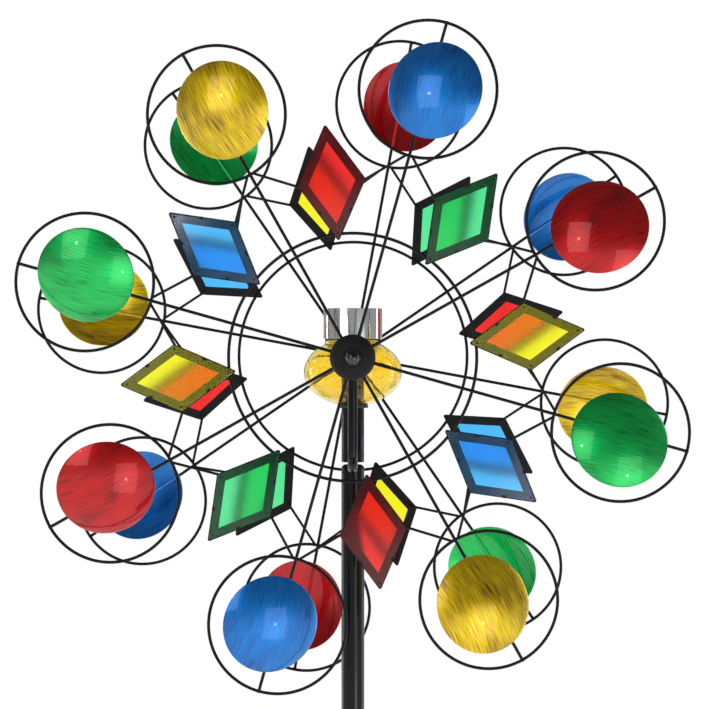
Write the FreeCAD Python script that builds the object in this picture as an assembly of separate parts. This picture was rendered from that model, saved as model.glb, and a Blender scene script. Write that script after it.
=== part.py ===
"""Kinetic wind spinner for the garden: two counter-turning wire rotors on a forked post, with a solar globe.

Frame: millimetres, +Z up, the front rotor faces -Y, and the origin is where the post's axis meets the
ground. Each sub-part is written to parts/NODE.step. A rotor is built on a bench, lying in the XY plane
with +Z as its outward side, and is then stood up. The rear rotor is the mirror image of a front one.
"""

import FreeCAD, Part

import math
import os

# ---- driving dimensions: heights and places -----------------------------------------------------
AXIS_Z = 1400.0  # height of the rotor axis over the ground line
ROTOR_Y = 75.0  # distance of a rotor's spoke plane from the post's axis
PRONG_LENGTH = 200.0  # depth of the prongs below the ground line

# ---- rotor wirework ----------------------------------------------------------------------------
ARMS = 8  # arms, hoops, cups and panels of one rotor
ARM_START = {"front": -15.7, "rear": -10.55}  # angle of the first arm, from +X towards +Z
HOOP_CENTRE_R = 243.7  # rotor axis to a hoop's centre
HOOP_R = 60.4  # hoop radius, to the wire's centre
RING_R = 108.7  # inner ring radius, to the wire's centre
WIRE_R = 1.4  # wire of spokes, hoops and ring
BRACE_R = 1.2  # wire of the braces
WELD = 0.25  # how deep a weld sinks one wire into the other
SPOKE_END_INSET = 0.6  # the spoke stops this far inside the hoop's outer edge
BRACE_SPREAD = 2.6  # the two braces of a hoop leave its wire this far either side of the spoke
BRACE_LAP = 8.0  # length of a brace that lies on a panel's corner

# ---- wind cups ---------------------------------------------------------------------------------
CUP_RIM_R = 43.0
CUP_SPHERE_R = 75.0
CUP_SHEET = 0.8
CUP_TILT = 19.0  # turn of a cup about its spoke
CUP_OFFSET = 6.8  # the cup's centre lies this far to one side of its spoke

# ---- diamond panels ----------------------------------------------------------------------------
PANEL_CENTRE_R = 153.8
PANEL_SIDE = 60.0  # side of the diamond
PANEL_HALF_ANGLE = 30.0  # half of the diamond's sharp corner
PANEL_BORDER = 8.0
PANEL_CORNER_R = 1.6
FRAME_SHEET = 1.2
ACRYLIC_SHEET = 2.0
ACRYLIC_INSET = 0.8  # acrylic edge inside the frame's edge
TAB_WIDTH = 3.2
TAB_SHEET = 0.6
TAB_LAP = 2.4  # length of a tab's lip over the acrylic

# ---- hub, axle and bearings --------------------------------------------------------------------
AXLE_R = 3.0
RUNNING_CLEARANCE = 0.05  # radial, bearing on axle
FIT_CLEARANCE = 0.05  # radial, fixed pieces that are pushed together
FREE_CLEARANCE = 0.5  # pieces of different bodies that must not rub
HUB_R = 13.0
HUB_BORE_R = 8.0
HUB_LENGTH = 22.0
HUB_SPOKE_Y = 11.5  # hub end nearest the post to the spoke plane
BEARING_FLANGE_R = 10.5
BEARING_FLANGE = 1.2
BEARING_LENGTH = 7.0
DOME_R = 20.0
DOME_SHEET = 1.5
DOME_RISE = 12.0
DOME_COLLAR_R = 6.5
WASHER_R = 8.4
WASHER_SHEET = 1.2
NUT_FLATS = 13.0
NUT_HEX_HEIGHT = 3.4
NUT_DOME_R = 5.9
BOLT_HEAD_FLATS = 10.0
BOLT_HEAD_HEIGHT = 3.0
SPACER_R = 6.5
SPACER_SHEET = 1.5
SPACER_GAP = 0.3  # end play between the spacer and the bearing
BOSS_R = 7.0

# ---- yoke, post and ground stake ---------------------------------------------------------------
YOKE_ROD_R = 4.5
YOKE_DROP = 99.6  # rotor axis down to the centre line of the yoke's foot
YOKE_BEND_R = 18.0
BOSS_OVERHANG = 2.0  # the axle boss stands this far past each side of the rod
POST_R = 10.5
POST_WALL = 1.2
POST_SECTIONS = 3
SPIGOT_CLEARANCE = 0.1
SPIGOT_WALL = 1.6
SPIGOT_HALF = 45.0  # length of a spigot in each section
CAP_HEIGHT = 7.0
CAP_STUB = 20.0
CAP_SHOULDER_R = 4.0
CAP_OVER_YOKE = 1.2  # the cap's top over the centre line of the yoke's foot
SCREW_R = 2.5
SCREW_HEAD_R = 4.5
SCREW_HEAD = 4.0
STAKE_PLATE_SIDE = 110.0
STAKE_PLATE_CORNER_R = 12.0
STAKE_PLATE = 3.0
STAKE_SPIGOT_LENGTH = 60.0
PRONG_R = 4.0
PRONG_PITCH = 80.0
PRONG_POINT = 20.0

# ---- lamp stem and globe -----------------------------------------------------------------------
STEM_R = 10.35
STEM_WALL = 1.2
STEM_TOP = -8.0  # heights in this group are from the rotor axis
STEM_COPE = 1.0  # depth of the saddle that sits on the yoke
GLOBE_CENTRE = -14.0
GLOBE_R = 44.8
GLOBE_HALF_HEIGHT = 31.0
GLOBE_WALL = 2.4
GLOBE_HOLE_R = 12.0
NECK_R = 25.6
NECK_WALL = 2.4
NECK_TOP = 15.5
GROMMET_LIP_R = 14.0
GROMMET_BOTTOM = -46.6
GROMMET_TOP = -41.5

# ---- solar module ------------------------------------------------------------------------------
SLEEVE_R = 26.8
SLEEVE_SHEET = 0.8
SLEEVE_HEIGHT = 27.5
GASKET_SHEET = 1.0
MODULE_WALL = 2.0
MODULE_FLOOR = 2.5
SKIRT_CLEARANCE = 0.8  # radial, skirt in the neck
SKIRT_LENGTH = 12.0
DECK = 1.6
WINDOW_SHEET = 2.0
WINDOW_RECESS = 0.6
CELL_CORNER_CLEARANCE = 0.8  # cell corners to the case wall
CELL_SHEET = 1.0
BOARD_CLEARANCE = 3.95  # board edge to the case wall
BOARD_SHEET = 1.6
BATTERY_R = 5.25
BATTERY_CLEARANCE = 1.7  # battery ends to the case wall, with a clip between
CLIP_SHEET = 0.5
CLIP_WIDTH = 9.0
LED_R = 2.5
LED_LENGTH = 8.0
BUTTON_R = 3.0
BUTTON_REACH = 3.0  # how far the button stands below the module's floor
BUTTON_TRAVEL = 1.5
BUTTON_X = 12.0
SWITCH_SIDE = 8.0

# ---- colours of the painted cups and the acrylics, in order from the first arm ------------------
CUP_COLOURS = {
    "front": ("green", "red", "blue", "yellow"),
    "rear": ("yellow", "blue", "red", "green"),
}
PANEL_COLOURS = {
    "front": ("yellow", "green", "red", "blue"),
    "rear": ("red", "green", "yellow", "blue"),
}

# ---- worked-out places -------------------------------------------------------------------------
ORIGIN = FreeCAD.Vector(0, 0, 0)
UP = FreeCAD.Vector(0, 0, 1)
ALONG_X = FreeCAD.Vector(1, 0, 0)
ALONG_Y = FreeCAD.Vector(0, 1, 0)
ARM_STEP = 360.0 / ARMS
LOW_WIRE_Z = -(2 * WIRE_R - WELD)  # bench height of hoops and ring, under the spokes
FRAME_Z = LOW_WIRE_Z + WIRE_R - WELD  # underside of the panel frames, which lie on the ring
BRACE_Z = FRAME_Z + WELD / 2 - BRACE_R  # braces lie under the frames
ACRYLIC_Z = FRAME_Z + FRAME_SHEET
HUB_Y = ROTOR_Y - HUB_SPOKE_Y
BEARING_Y = HUB_Y - BEARING_FLANGE  # inner face of the inner bearing's flange
SPACER_Y = BEARING_Y - SPACER_GAP - SPACER_SHEET  # outer face of the boss
YOKE_ARM_Y = SPACER_Y - BOSS_OVERHANG - YOKE_ROD_R
DOME_SEAT_Y = HUB_Y + HUB_LENGTH + BEARING_FLANGE  # outer face of the outer bearing's flange
DOME_RIM_Y = HUB_Y + HUB_LENGTH - 1.0
DOME_TOP_Y = DOME_RIM_Y + DOME_RISE
WASHER_Y = DOME_TOP_Y + SPACER_GAP
NUT_Y = WASHER_Y + WASHER_SHEET
YOKE_FOOT_Z = AXIS_Z - YOKE_DROP
POST_BORE_R = POST_R - POST_WALL
SPIGOT_R = POST_BORE_R - SPIGOT_CLEARANCE
POST_TOP_Z = YOKE_FOOT_Z + CAP_OVER_YOKE - CAP_HEIGHT
SECTION_LENGTH = (POST_TOP_Z - STAKE_PLATE) / POST_SECTIONS
SLEEVE_Z = AXIS_Z + NECK_TOP + GASKET_SHEET
MODULE_R = SLEEVE_R - SLEEVE_SHEET - FIT_CLEARANCE
MODULE_BORE_R = MODULE_R - MODULE_WALL
SKIRT_R = NECK_R - NECK_WALL - SKIRT_CLEARANCE
BOARD_R = MODULE_BORE_R - BOARD_CLEARANCE
BATTERY_LENGTH = 2 * (MODULE_BORE_R - BATTERY_CLEARANCE)
WINDOW_Z = SLEEVE_Z + SLEEVE_HEIGHT - WINDOW_RECESS - WINDOW_SHEET
BOARD_Z = SLEEVE_Z + MODULE_FLOOR + 2.0
BATTERY_Z = BOARD_Z + BOARD_SHEET + BATTERY_R + 1.0


def tube(outer, inner, length, base, direction=UP):
    """A tube with its lower end centred on base."""
    shell = Part.makeCylinder(outer, length, base, direction)
    return shell.cut(Part.makeCylinder(inner, length, base, direction))


def hexagon(flats, height, base, direction):
    """A hexagonal prism, flats across, standing on base."""
    corner_r = flats / math.sqrt(3)
    corners = [
        FreeCAD.Vector(corner_r * math.cos(k * math.pi / 3), corner_r * math.sin(k * math.pi / 3), 0)
        for k in range(6)
    ]
    prism = Part.Face(Part.makePolygon(corners + corners[:1])).extrude(UP * height)
    prism.Placement = FreeCAD.Placement(base, FreeCAD.Rotation(UP, direction))
    return prism


def turned(points, arcs=()):
    """A solid turned about Z from a closed outline of (radius, height) points.

    arcs maps the index of an edge's first point to a point that its arc runs through.
    """
    places = [FreeCAD.Vector(r, 0, z) for r, z in points]
    through = dict(arcs)
    edges = []
    for k, start in enumerate(places):
        end = places[(k + 1) % len(places)]
        if k in through:
            r, z = through[k]
            edges.append(Part.Arc(start, FreeCAD.Vector(r, 0, z), end).toShape())
        else:
            edges.append(Part.makeLine(start, end))
    return Part.Face(Part.Wire(edges)).revolve(ORIGIN, UP, 360)


def moved(shape, offset):
    """A copy of shape, moved by offset."""
    copy = shape.copy()
    copy.translate(offset)
    return copy


def around(shape, angles):
    """Copies of a bench shape, turned about Z by each angle."""
    copies = []
    for angle in angles:
        copy = shape.copy()
        copy.rotate(ORIGIN, UP, angle)
        copies.append(copy)
    return copies


def stand_up(solids, side, out=ROTOR_Y):
    """Bench solids stood up as the front rotor, and mirrored for the rear one.

    The bench plane ends up at a distance out from the post's axis.
    """
    placed = []
    for solid in solids:
        shape = solid.copy()
        shape.rotate(ORIGIN, ALONG_X, 90)
        shape.translate(FreeCAD.Vector(0, -out, AXIS_Z))
        if side == "rear":
            shape = shape.mirror(ORIGIN, ALONG_Y)
        placed.append(shape)
    return placed


def arm_angles(side):
    """The angles of a rotor's arms."""
    return [ARM_START[side] + ARM_STEP * k for k in range(ARMS)]


def panel_angles(side):
    """The angles of a rotor's panels, midway between arms."""
    return [angle + ARM_STEP / 2 for angle in arm_angles(side)]


# ---- rotor pieces, on the bench ----------------------------------------------------------------
def spoke():
    """One straight spoke along +X, from the hub to the hoop's far side."""
    start = HUB_R - WELD
    end = HOOP_CENTRE_R + HOOP_R + WIRE_R - SPOKE_END_INSET
    return Part.makeCylinder(WIRE_R, end - start, FreeCAD.Vector(start, 0, 0), ALONG_X)


def hoop():
    """One wire hoop round a cup, welded under its spoke."""
    return Part.makeTorus(HOOP_R, WIRE_R, FreeCAD.Vector(HOOP_CENTRE_R, 0, LOW_WIRE_Z), UP)


def inner_ring():
    """The wire ring that ties the spokes together."""
    return Part.makeTorus(RING_R, WIRE_R, FreeCAD.Vector(0, 0, LOW_WIRE_Z), UP)


def diamond_corners(side):
    """The four corners of a diamond about the panel's centre: outer, left, inner, right."""
    half_long = side * math.cos(math.radians(PANEL_HALF_ANGLE))
    half_short = side * math.sin(math.radians(PANEL_HALF_ANGLE))
    centre = FreeCAD.Vector(PANEL_CENTRE_R, 0, 0)
    steps = ((half_long, 0), (0, half_short), (-half_long, 0), (0, -half_short))
    return [centre + FreeCAD.Vector(x, y, 0) for x, y in steps]


def diamond(side, height, z, corner_r=0.0):
    """A diamond plate with its corners rounded, lying at height z."""
    corners = diamond_corners(side)
    plate = Part.Face(Part.makePolygon(corners + corners[:1])).extrude(UP * height)
    plate.translate(UP * z)
    if corner_r:
        upright = [e for e in plate.Edges if abs(e.tangentAt(e.FirstParameter).z) > 0.99]
        plate = plate.makeFillet(corner_r, upright)
    return plate


def inset_side(inset):
    """The side of a diamond whose edges lie inside the panel's by inset."""
    return PANEL_SIDE - 2 * inset / math.sin(math.radians(2 * PANEL_HALF_ANGLE))


def tab(start, end):
    """A folded tab at the middle of a panel's side: a wall on the edge and a lip over the acrylic."""
    along = (end - start).normalize()
    inward = UP.cross(along)
    wall = ACRYLIC_INSET - 0.1
    height = ACRYLIC_SHEET + TAB_SHEET
    middle = (start + end) * 0.5
    upright = Part.makeBox(TAB_WIDTH, wall, height)
    lip = Part.makeBox(TAB_WIDTH, TAB_LAP, TAB_SHEET, FreeCAD.Vector(0, 0, ACRYLIC_SHEET))
    shape = upright.fuse(lip)
    turn = FreeCAD.Rotation(along, inward, UP)
    shape.Placement = FreeCAD.Placement(middle - along * (TAB_WIDTH / 2) + UP * ACRYLIC_Z, turn)
    return shape


def panel_frame():
    """One sheet-metal diamond frame at angle 0, with a window and four folded tabs."""
    frame = diamond(PANEL_SIDE, FRAME_SHEET, FRAME_Z, PANEL_CORNER_R)
    frame = frame.cut(diamond(inset_side(PANEL_BORDER), FRAME_SHEET, FRAME_Z))
    corners = diamond_corners(PANEL_SIDE)
    for k, start in enumerate(corners):
        frame = frame.fuse(tab(start, corners[(k + 1) % 4]))
    return frame.removeSplitter()


def acrylic():
    """One clear coloured diamond sheet on the outward face of its frame."""
    return diamond(inset_side(ACRYLIC_INSET), ACRYLIC_SHEET, ACRYLIC_Z, PANEL_CORNER_R)


def brace(sign):
    """One brace from the hoop of the arm at angle 0 to the near corner of the panel on one side."""
    spread = sign * BRACE_SPREAD
    reach = math.sqrt(HOOP_R ** 2 - spread ** 2)
    start = FreeCAD.Vector(HOOP_CENTRE_R - reach, spread, BRACE_Z)
    corner = diamond_corners(PANEL_SIDE)[3 if sign > 0 else 1]
    end = FreeCAD.Vector(corner.x, corner.y, BRACE_Z)
    end = FreeCAD.Rotation(UP, sign * ARM_STEP / 2).multVec(end)
    along = (end - start).normalize()
    start = start + along * (WIRE_R * 0.6)
    length = (end - start).Length + BRACE_LAP
    return Part.makeCylinder(BRACE_R, length, start, along)


def cup():
    """One pressed cup at angle 0: a spherical cap of even sheet, tilted about its spoke."""
    sphere_z = -math.sqrt(CUP_SPHERE_R ** 2 - CUP_RIM_R ** 2)
    inner_sphere = CUP_SPHERE_R - CUP_SHEET
    inner_rim = math.sqrt(inner_sphere ** 2 - sphere_z ** 2)
    half = math.asin(CUP_RIM_R / CUP_SPHERE_R) / 2
    outer_mid = (CUP_SPHERE_R * math.sin(half), sphere_z + CUP_SPHERE_R * math.cos(half))
    inner_mid = (inner_sphere * math.sin(half), sphere_z + inner_sphere * math.cos(half))
    outline = [(0, sphere_z + inner_sphere), (0, sphere_z + CUP_SPHERE_R), (CUP_RIM_R, 0), (inner_rim, 0)]
    cap = turned(outline, {1: outer_mid, 3: inner_mid})
    cap.translate(FreeCAD.Vector(0, -CUP_OFFSET, WIRE_R - WELD))
    cap.rotate(ORIGIN, ALONG_X, -CUP_TILT)
    cap.translate(FreeCAD.Vector(HOOP_CENTRE_R, 0, 0))
    return cap


# ---- hub pieces, turned about the bench's Z axis; heights are distances from the post's axis ----
def hub_tube():
    """The sleeve that the spokes are welded to."""
    return tube(HUB_R, HUB_BORE_R, HUB_LENGTH, UP * HUB_Y)


def bearing_pair():
    """Two flanged plain bearings, pushed into the ends of the hub."""
    bore = AXLE_R + RUNNING_CLEARANCE
    shank = HUB_BORE_R
    outline = [
        (bore, 0),
        (BEARING_FLANGE_R, 0),
        (BEARING_FLANGE_R, BEARING_FLANGE),
        (shank, BEARING_FLANGE),
        (shank, BEARING_FLANGE + BEARING_LENGTH),
        (bore, BEARING_FLANGE + BEARING_LENGTH),
    ]
    inner = turned(outline)
    outer = inner.mirror(ORIGIN, UP)
    return [moved(inner, UP * BEARING_Y), moved(outer, UP * DOME_SEAT_Y)]


def dome_cap():
    """The domed cover over the hub, with a collar that rests on the outer bearing."""
    hole = AXLE_R + FREE_CLEARANCE
    rise = DOME_RISE
    inner_r = DOME_R - DOME_SHEET
    inner_rise = rise - DOME_SHEET
    half_turn = math.pi / 4
    flat = DOME_COLLAR_R
    outer_mid = (flat + (DOME_R - flat) * math.sin(half_turn), rise * math.cos(half_turn))
    inner_mid = (flat + (inner_r - flat) * math.sin(half_turn), inner_rise * math.cos(half_turn))
    collar_foot = DOME_SEAT_Y - DOME_RIM_Y
    outline = [
        (hole, collar_foot),
        (DOME_COLLAR_R, collar_foot),
        (DOME_COLLAR_R, inner_rise),
        (inner_r, 0),
        (DOME_R, 0),
        (DOME_COLLAR_R, rise),
        (hole, rise),
    ]
    return moved(turned(outline, {2: inner_mid, 4: outer_mid}), UP * DOME_RIM_Y)


def axle():
    """The bolt that a rotor turns on, with its head on the inner side of the yoke."""
    start = YOKE_ARM_Y - YOKE_ROD_R - BOSS_OVERHANG
    end = NUT_Y + NUT_HEX_HEIGHT
    shank = Part.makeCylinder(AXLE_R, end - start, UP * start, UP)
    head = hexagon(BOLT_HEAD_FLATS, BOLT_HEAD_HEIGHT, UP * (start - BOLT_HEAD_HEIGHT), UP)
    return shank.fuse(head).removeSplitter()


def ring_washer(outer, thickness, z):
    """A flat washer on the axle."""
    return tube(outer, AXLE_R + FIT_CLEARANCE, thickness, UP * z)


def acorn_nut():
    """A domed nut with a blind bore."""
    prism = hexagon(NUT_FLATS, NUT_HEX_HEIGHT, UP * NUT_Y, UP)
    crown = Part.makeSphere(NUT_DOME_R, UP * (NUT_Y + NUT_HEX_HEIGHT), UP, 0, 90, 360)
    bore = Part.makeCylinder(AXLE_R + FIT_CLEARANCE, NUT_HEX_HEIGHT, UP * NUT_Y, UP)
    return prism.fuse(crown).cut(bore).removeSplitter()


def yoke_boss():
    """The sleeve at the top of a yoke arm that the axle passes through."""
    length = 2 * (YOKE_ROD_R + BOSS_OVERHANG)
    return tube(BOSS_R, AXLE_R + FIT_CLEARANCE, length, UP * (SPACER_Y - length))


# ---- yoke, post and stake ----------------------------------------------------------------------
def yoke():
    """The U-shaped rod that carries both rotors, its arms ending against the bosses."""
    top = AXIS_Z - BOSS_R + WELD * 2
    bend_z = YOKE_FOOT_Z + YOKE_BEND_R
    run_y = YOKE_ARM_Y - YOKE_BEND_R
    offset = YOKE_BEND_R * math.sin(math.pi / 4)
    mid_y = run_y + offset
    mid_z = bend_z - offset
    point = FreeCAD.Vector
    edges = [
        Part.makeLine(point(0, -YOKE_ARM_Y, top), point(0, -YOKE_ARM_Y, bend_z)),
        Part.Arc(
            point(0, -YOKE_ARM_Y, bend_z), point(0, -mid_y, mid_z), point(0, -run_y, YOKE_FOOT_Z)
        ).toShape(),
        Part.makeLine(point(0, -run_y, YOKE_FOOT_Z), point(0, run_y, YOKE_FOOT_Z)),
        Part.Arc(
            point(0, run_y, YOKE_FOOT_Z), point(0, mid_y, mid_z), point(0, YOKE_ARM_Y, bend_z)
        ).toShape(),
        Part.makeLine(point(0, YOKE_ARM_Y, bend_z), point(0, YOKE_ARM_Y, top)),
    ]
    section = Part.Wire([Part.makeCircle(YOKE_ROD_R, point(0, -YOKE_ARM_Y, top), UP)])
    return Part.Wire(edges).makePipeShell([section], True, False)


def post_cap():
    """The plug in the post's top, with a rounded shoulder and a saddle for the yoke."""
    corner = CAP_SHOULDER_R * (1 - math.sin(math.pi / 4))
    outline = [
        (0, -CAP_STUB),
        (SPIGOT_R, -CAP_STUB),
        (SPIGOT_R, 0),
        (POST_R, 0),
        (POST_R, CAP_HEIGHT - CAP_SHOULDER_R),
        (POST_R - CAP_SHOULDER_R, CAP_HEIGHT),
        (0, CAP_HEIGHT),
    ]
    plug = turned(outline, {4: (POST_R - corner, CAP_HEIGHT - corner)})
    plug.translate(UP * POST_TOP_Z)
    start = FreeCAD.Vector(0, -POST_R, YOKE_FOOT_Z)
    return plug.cut(Part.makeCylinder(YOKE_ROD_R, 2 * POST_R, start, ALONG_Y))


def joint_heights():
    """The heights where one post section meets the next."""
    return [STAKE_PLATE + SECTION_LENGTH * k for k in range(1, POST_SECTIONS)]


def screw_heights():
    """The heights of the clamp screws: one at the stake and one over each joint."""
    return [STAKE_PLATE + STAKE_SPIGOT_LENGTH / 2] + [z + SPIGOT_HALF / 2 for z in joint_heights()]


def screw_hole(z):
    """The radial hole of one clamp screw, on the rear side of the post."""
    return Part.makeCylinder(SCREW_R + FIT_CLEARANCE, 2 * POST_R, FreeCAD.Vector(0, 0, z), ALONG_Y)


def clamp_screw(z):
    """One clamp screw with a round head against the post."""
    start = SPIGOT_R - SPIGOT_WALL
    shank = Part.makeCylinder(SCREW_R, POST_R - start, FreeCAD.Vector(0, start, z), ALONG_Y)
    head_at = FreeCAD.Vector(0, POST_R, z)
    head = Part.makeCylinder(SCREW_HEAD_R, SCREW_HEAD, head_at, ALONG_Y)
    socket = hexagon(SCREW_R * 1.6, SCREW_HEAD / 2, head_at + ALONG_Y * (SCREW_HEAD / 2), ALONG_Y)
    return shank.fuse(head).cut(socket)


def post_section(k):
    """Section k of the post, counted from the ground."""
    base = STAKE_PLATE + SECTION_LENGTH * k
    section = tube(POST_R, POST_BORE_R, SECTION_LENGTH, UP * base)
    for z in screw_heights():
        if base < z < base + SECTION_LENGTH:
            section = section.cut(screw_hole(z))
    return section


def post_spigot(z):
    """The inner sleeve across the joint at height z."""
    sleeve = tube(SPIGOT_R, SPIGOT_R - SPIGOT_WALL, 2 * SPIGOT_HALF, UP * (z - SPIGOT_HALF))
    return sleeve.cut(screw_hole(z + SPIGOT_HALF / 2))


def stake_spigot():
    """The upright sleeve on the stake plate that the lowest section slips over."""
    sleeve = tube(SPIGOT_R, SPIGOT_R - SPIGOT_WALL, STAKE_SPIGOT_LENGTH, UP * STAKE_PLATE)
    return sleeve.cut(screw_hole(STAKE_PLATE + STAKE_SPIGOT_LENGTH / 2))


def stake_plate():
    """The square foot plate, its underside on the ground line."""
    half = STAKE_PLATE_SIDE / 2
    plate = Part.makeBox(STAKE_PLATE_SIDE, STAKE_PLATE_SIDE, STAKE_PLATE, FreeCAD.Vector(-half, -half, 0))
    upright = [e for e in plate.Edges if abs(e.tangentAt(e.FirstParameter).z) > 0.99]
    return plate.makeFillet(STAKE_PLATE_CORNER_R, upright)


def prongs():
    """Four round prongs with conical points, under the corners of the plate."""
    shank = PRONG_LENGTH - PRONG_POINT
    pin = Part.makeCylinder(PRONG_R, shank, UP * -shank, UP)
    point = Part.makeCone(PRONG_R, 0.6, PRONG_POINT, UP * -shank, UP * -1)
    one = pin.fuse(point).removeSplitter()
    half = PRONG_PITCH / 2
    return [moved(one, FreeCAD.Vector(x, y, 0)) for x in (-half, half) for y in (-half, half)]


# ---- lamp --------------------------------------------------------------------------------------
def lamp_stem():
    """The tube that stands on the yoke's foot and reaches up inside the globe."""
    foot = YOKE_FOOT_Z + YOKE_ROD_R - STEM_COPE
    stem = tube(STEM_R, STEM_R - STEM_WALL, AXIS_Z + STEM_TOP - foot, UP * foot)
    start = FreeCAD.Vector(0, -2 * STEM_R, YOKE_FOOT_Z)
    return stem.cut(Part.makeCylinder(YOKE_ROD_R, 4 * STEM_R, start, ALONG_Y))


def globe_height(r, wall=0.0):
    """Height of the globe's upper half over its centre at radius r, wall inside its outer face."""
    share = r / (GLOBE_R - wall)
    return (GLOBE_HALF_HEIGHT - wall) * math.sqrt(1 - share ** 2)


def globe_body(wall=0.0):
    """The globe's whole oblate form, wall inside its outer face."""
    ball = Part.makeSphere(1.0)
    squash = FreeCAD.Matrix()
    squash.scale(GLOBE_R - wall, GLOBE_R - wall, GLOBE_HALF_HEIGHT - wall)
    body = ball.transformGeometry(squash)
    body.translate(UP * (AXIS_Z + GLOBE_CENTRE))
    return body


def glass_globe():
    """The crackle-glass globe: an oblate shell with a neck above and a hole for the stem below."""
    neck_foot = GLOBE_CENTRE + globe_height(NECK_R, GLOBE_WALL)
    centre = UP * (AXIS_Z + GLOBE_CENTRE)
    neck = Part.makeCylinder(NECK_R, NECK_TOP - neck_foot, UP * (AXIS_Z + neck_foot), UP)
    bore = Part.makeCylinder(NECK_R - NECK_WALL, 2 * GLOBE_HALF_HEIGHT, centre, UP)
    hole = Part.makeCylinder(GLOBE_HOLE_R, 2 * GLOBE_HALF_HEIGHT, centre, UP * -1)
    shell = globe_body().fuse(neck).cut(globe_body(GLOBE_WALL))
    return shell.cut(bore).cut(hole)


def globe_grommet():
    """The rubber ring between the globe's lower hole and the stem, with a lip under the glass."""
    bottom = AXIS_Z + GROMMET_BOTTOM
    lip_top = GROMMET_TOP - GROMMET_BOTTOM
    ring = tube(GLOBE_HOLE_R, STEM_R, lip_top, UP * bottom)
    lip = tube(GROMMET_LIP_R, STEM_R, lip_top / 2, UP * bottom).cut(globe_body())
    return ring.fuse(lip).removeSplitter()


def neck_gasket():
    """The flat rubber ring on the globe's neck that the solar module rests on."""
    return tube(NECK_R, NECK_R - NECK_WALL, GASKET_SHEET, UP * (AXIS_Z + NECK_TOP))


# ---- solar module, which lifts out of the neck -------------------------------------------------
def solar_sleeve():
    """The polished sleeve round the module."""
    return tube(SLEEVE_R, SLEEVE_R - SLEEVE_SHEET, SLEEVE_HEIGHT, UP * SLEEVE_Z)


def module_case():
    """The moulded case: wall, floor, deck for the cell, and a skirt that plugs into the neck."""
    height = WINDOW_Z - SLEEVE_Z
    inner = MODULE_BORE_R
    deck_z = height - CELL_SHEET
    outline = [
        (LED_R + FIT_CLEARANCE, 0),
        (SKIRT_R - MODULE_WALL, 0),
        (SKIRT_R - MODULE_WALL, -SKIRT_LENGTH),
        (SKIRT_R, -SKIRT_LENGTH),
        (SKIRT_R, 0),
        (MODULE_R, 0),
        (MODULE_R, height),
        (inner, height),
        (inner, MODULE_FLOOR),
        (LED_R + FIT_CLEARANCE, MODULE_FLOOR),
    ]
    case = moved(turned(outline), UP * SLEEVE_Z)
    deck = Part.makeCylinder(inner, DECK, UP * (SLEEVE_Z + deck_z - DECK), UP)
    hole_at = FreeCAD.Vector(BUTTON_X, 0, SLEEVE_Z)
    hole = Part.makeCylinder(BUTTON_R + RUNNING_CLEARANCE, MODULE_FLOOR, hole_at, UP)
    return case.fuse(deck).cut(hole).removeSplitter()


def cell_window():
    """The clear cast window over the cell."""
    return Part.makeCylinder(MODULE_R, WINDOW_SHEET, UP * WINDOW_Z, UP)


def solar_cell():
    """The square cell on the deck, under the window."""
    half = (MODULE_BORE_R - CELL_CORNER_CLEARANCE) / math.sqrt(2)
    corner = FreeCAD.Vector(-half, -half, WINDOW_Z - CELL_SHEET)
    return Part.makeBox(2 * half, 2 * half, CELL_SHEET, corner)


def circuit_board():
    """The round board over the module's floor, on two short posts."""
    board = Part.makeCylinder(BOARD_R, BOARD_SHEET, UP * BOARD_Z, UP)
    foot_z = SLEEVE_Z + MODULE_FLOOR
    for y in (-BOARD_R * 0.7, BOARD_R * 0.7):
        board = board.fuse(Part.makeCylinder(2.0, BOARD_Z - foot_z, FreeCAD.Vector(0, y, foot_z), UP))
    return board.removeSplitter()


def battery():
    """The rechargeable cell, lying along Y."""
    body_length = BATTERY_LENGTH - 1.0
    start = FreeCAD.Vector(0, -BATTERY_LENGTH / 2, BATTERY_Z)
    body = Part.makeCylinder(BATTERY_R, body_length, start, ALONG_Y)
    nub = Part.makeCylinder(1.9, 1.0, start + ALONG_Y * body_length, ALONG_Y)
    return body.fuse(nub)


def battery_clips():
    """The two sprung contact plates that hold the cell, standing on the board."""
    plates = []
    base = BOARD_Z + BOARD_SHEET
    height = BATTERY_Z - base + BATTERY_R
    for y in (-BATTERY_LENGTH / 2 - CLIP_SHEET, BATTERY_LENGTH / 2):
        plate = Part.makeBox(CLIP_WIDTH, CLIP_SHEET, height, FreeCAD.Vector(-CLIP_WIDTH / 2, y, base))
        foot_y = y if y < 0 else y + CLIP_SHEET - 4.0
        foot = Part.makeBox(CLIP_WIDTH, 4.0, CLIP_SHEET, FreeCAD.Vector(-CLIP_WIDTH / 2, foot_y, base))
        plates.append(plate.fuse(foot).removeSplitter())
    return plates


def lamp_led():
    """The round-nosed LED that points down into the globe."""
    barrel = LED_LENGTH - LED_R
    body = Part.makeCylinder(LED_R, barrel, UP * BOARD_Z, UP * -1)
    nose = Part.makeSphere(LED_R, UP * (BOARD_Z - barrel), UP, -90, 0, 360)
    return body.fuse(nose).removeSplitter()


def switch_body():
    """The switch box under the board, over the button."""
    base = SLEEVE_Z + MODULE_FLOOR
    half = SWITCH_SIDE / 2
    box = Part.makeBox(SWITCH_SIDE, SWITCH_SIDE, BOARD_Z - base, FreeCAD.Vector(BUTTON_X - half, -half, base))
    hole = Part.makeCylinder(BUTTON_R + RUNNING_CLEARANCE, BOARD_Z - base, FreeCAD.Vector(BUTTON_X, 0, base), UP)
    return box.cut(hole)


def switch_button():
    """The push button under the module's floor."""
    length = BUTTON_REACH + MODULE_FLOOR
    base = FreeCAD.Vector(BUTTON_X, 0, SLEEVE_Z - BUTTON_REACH)
    return Part.makeCylinder(BUTTON_R, length, base, UP)


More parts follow.
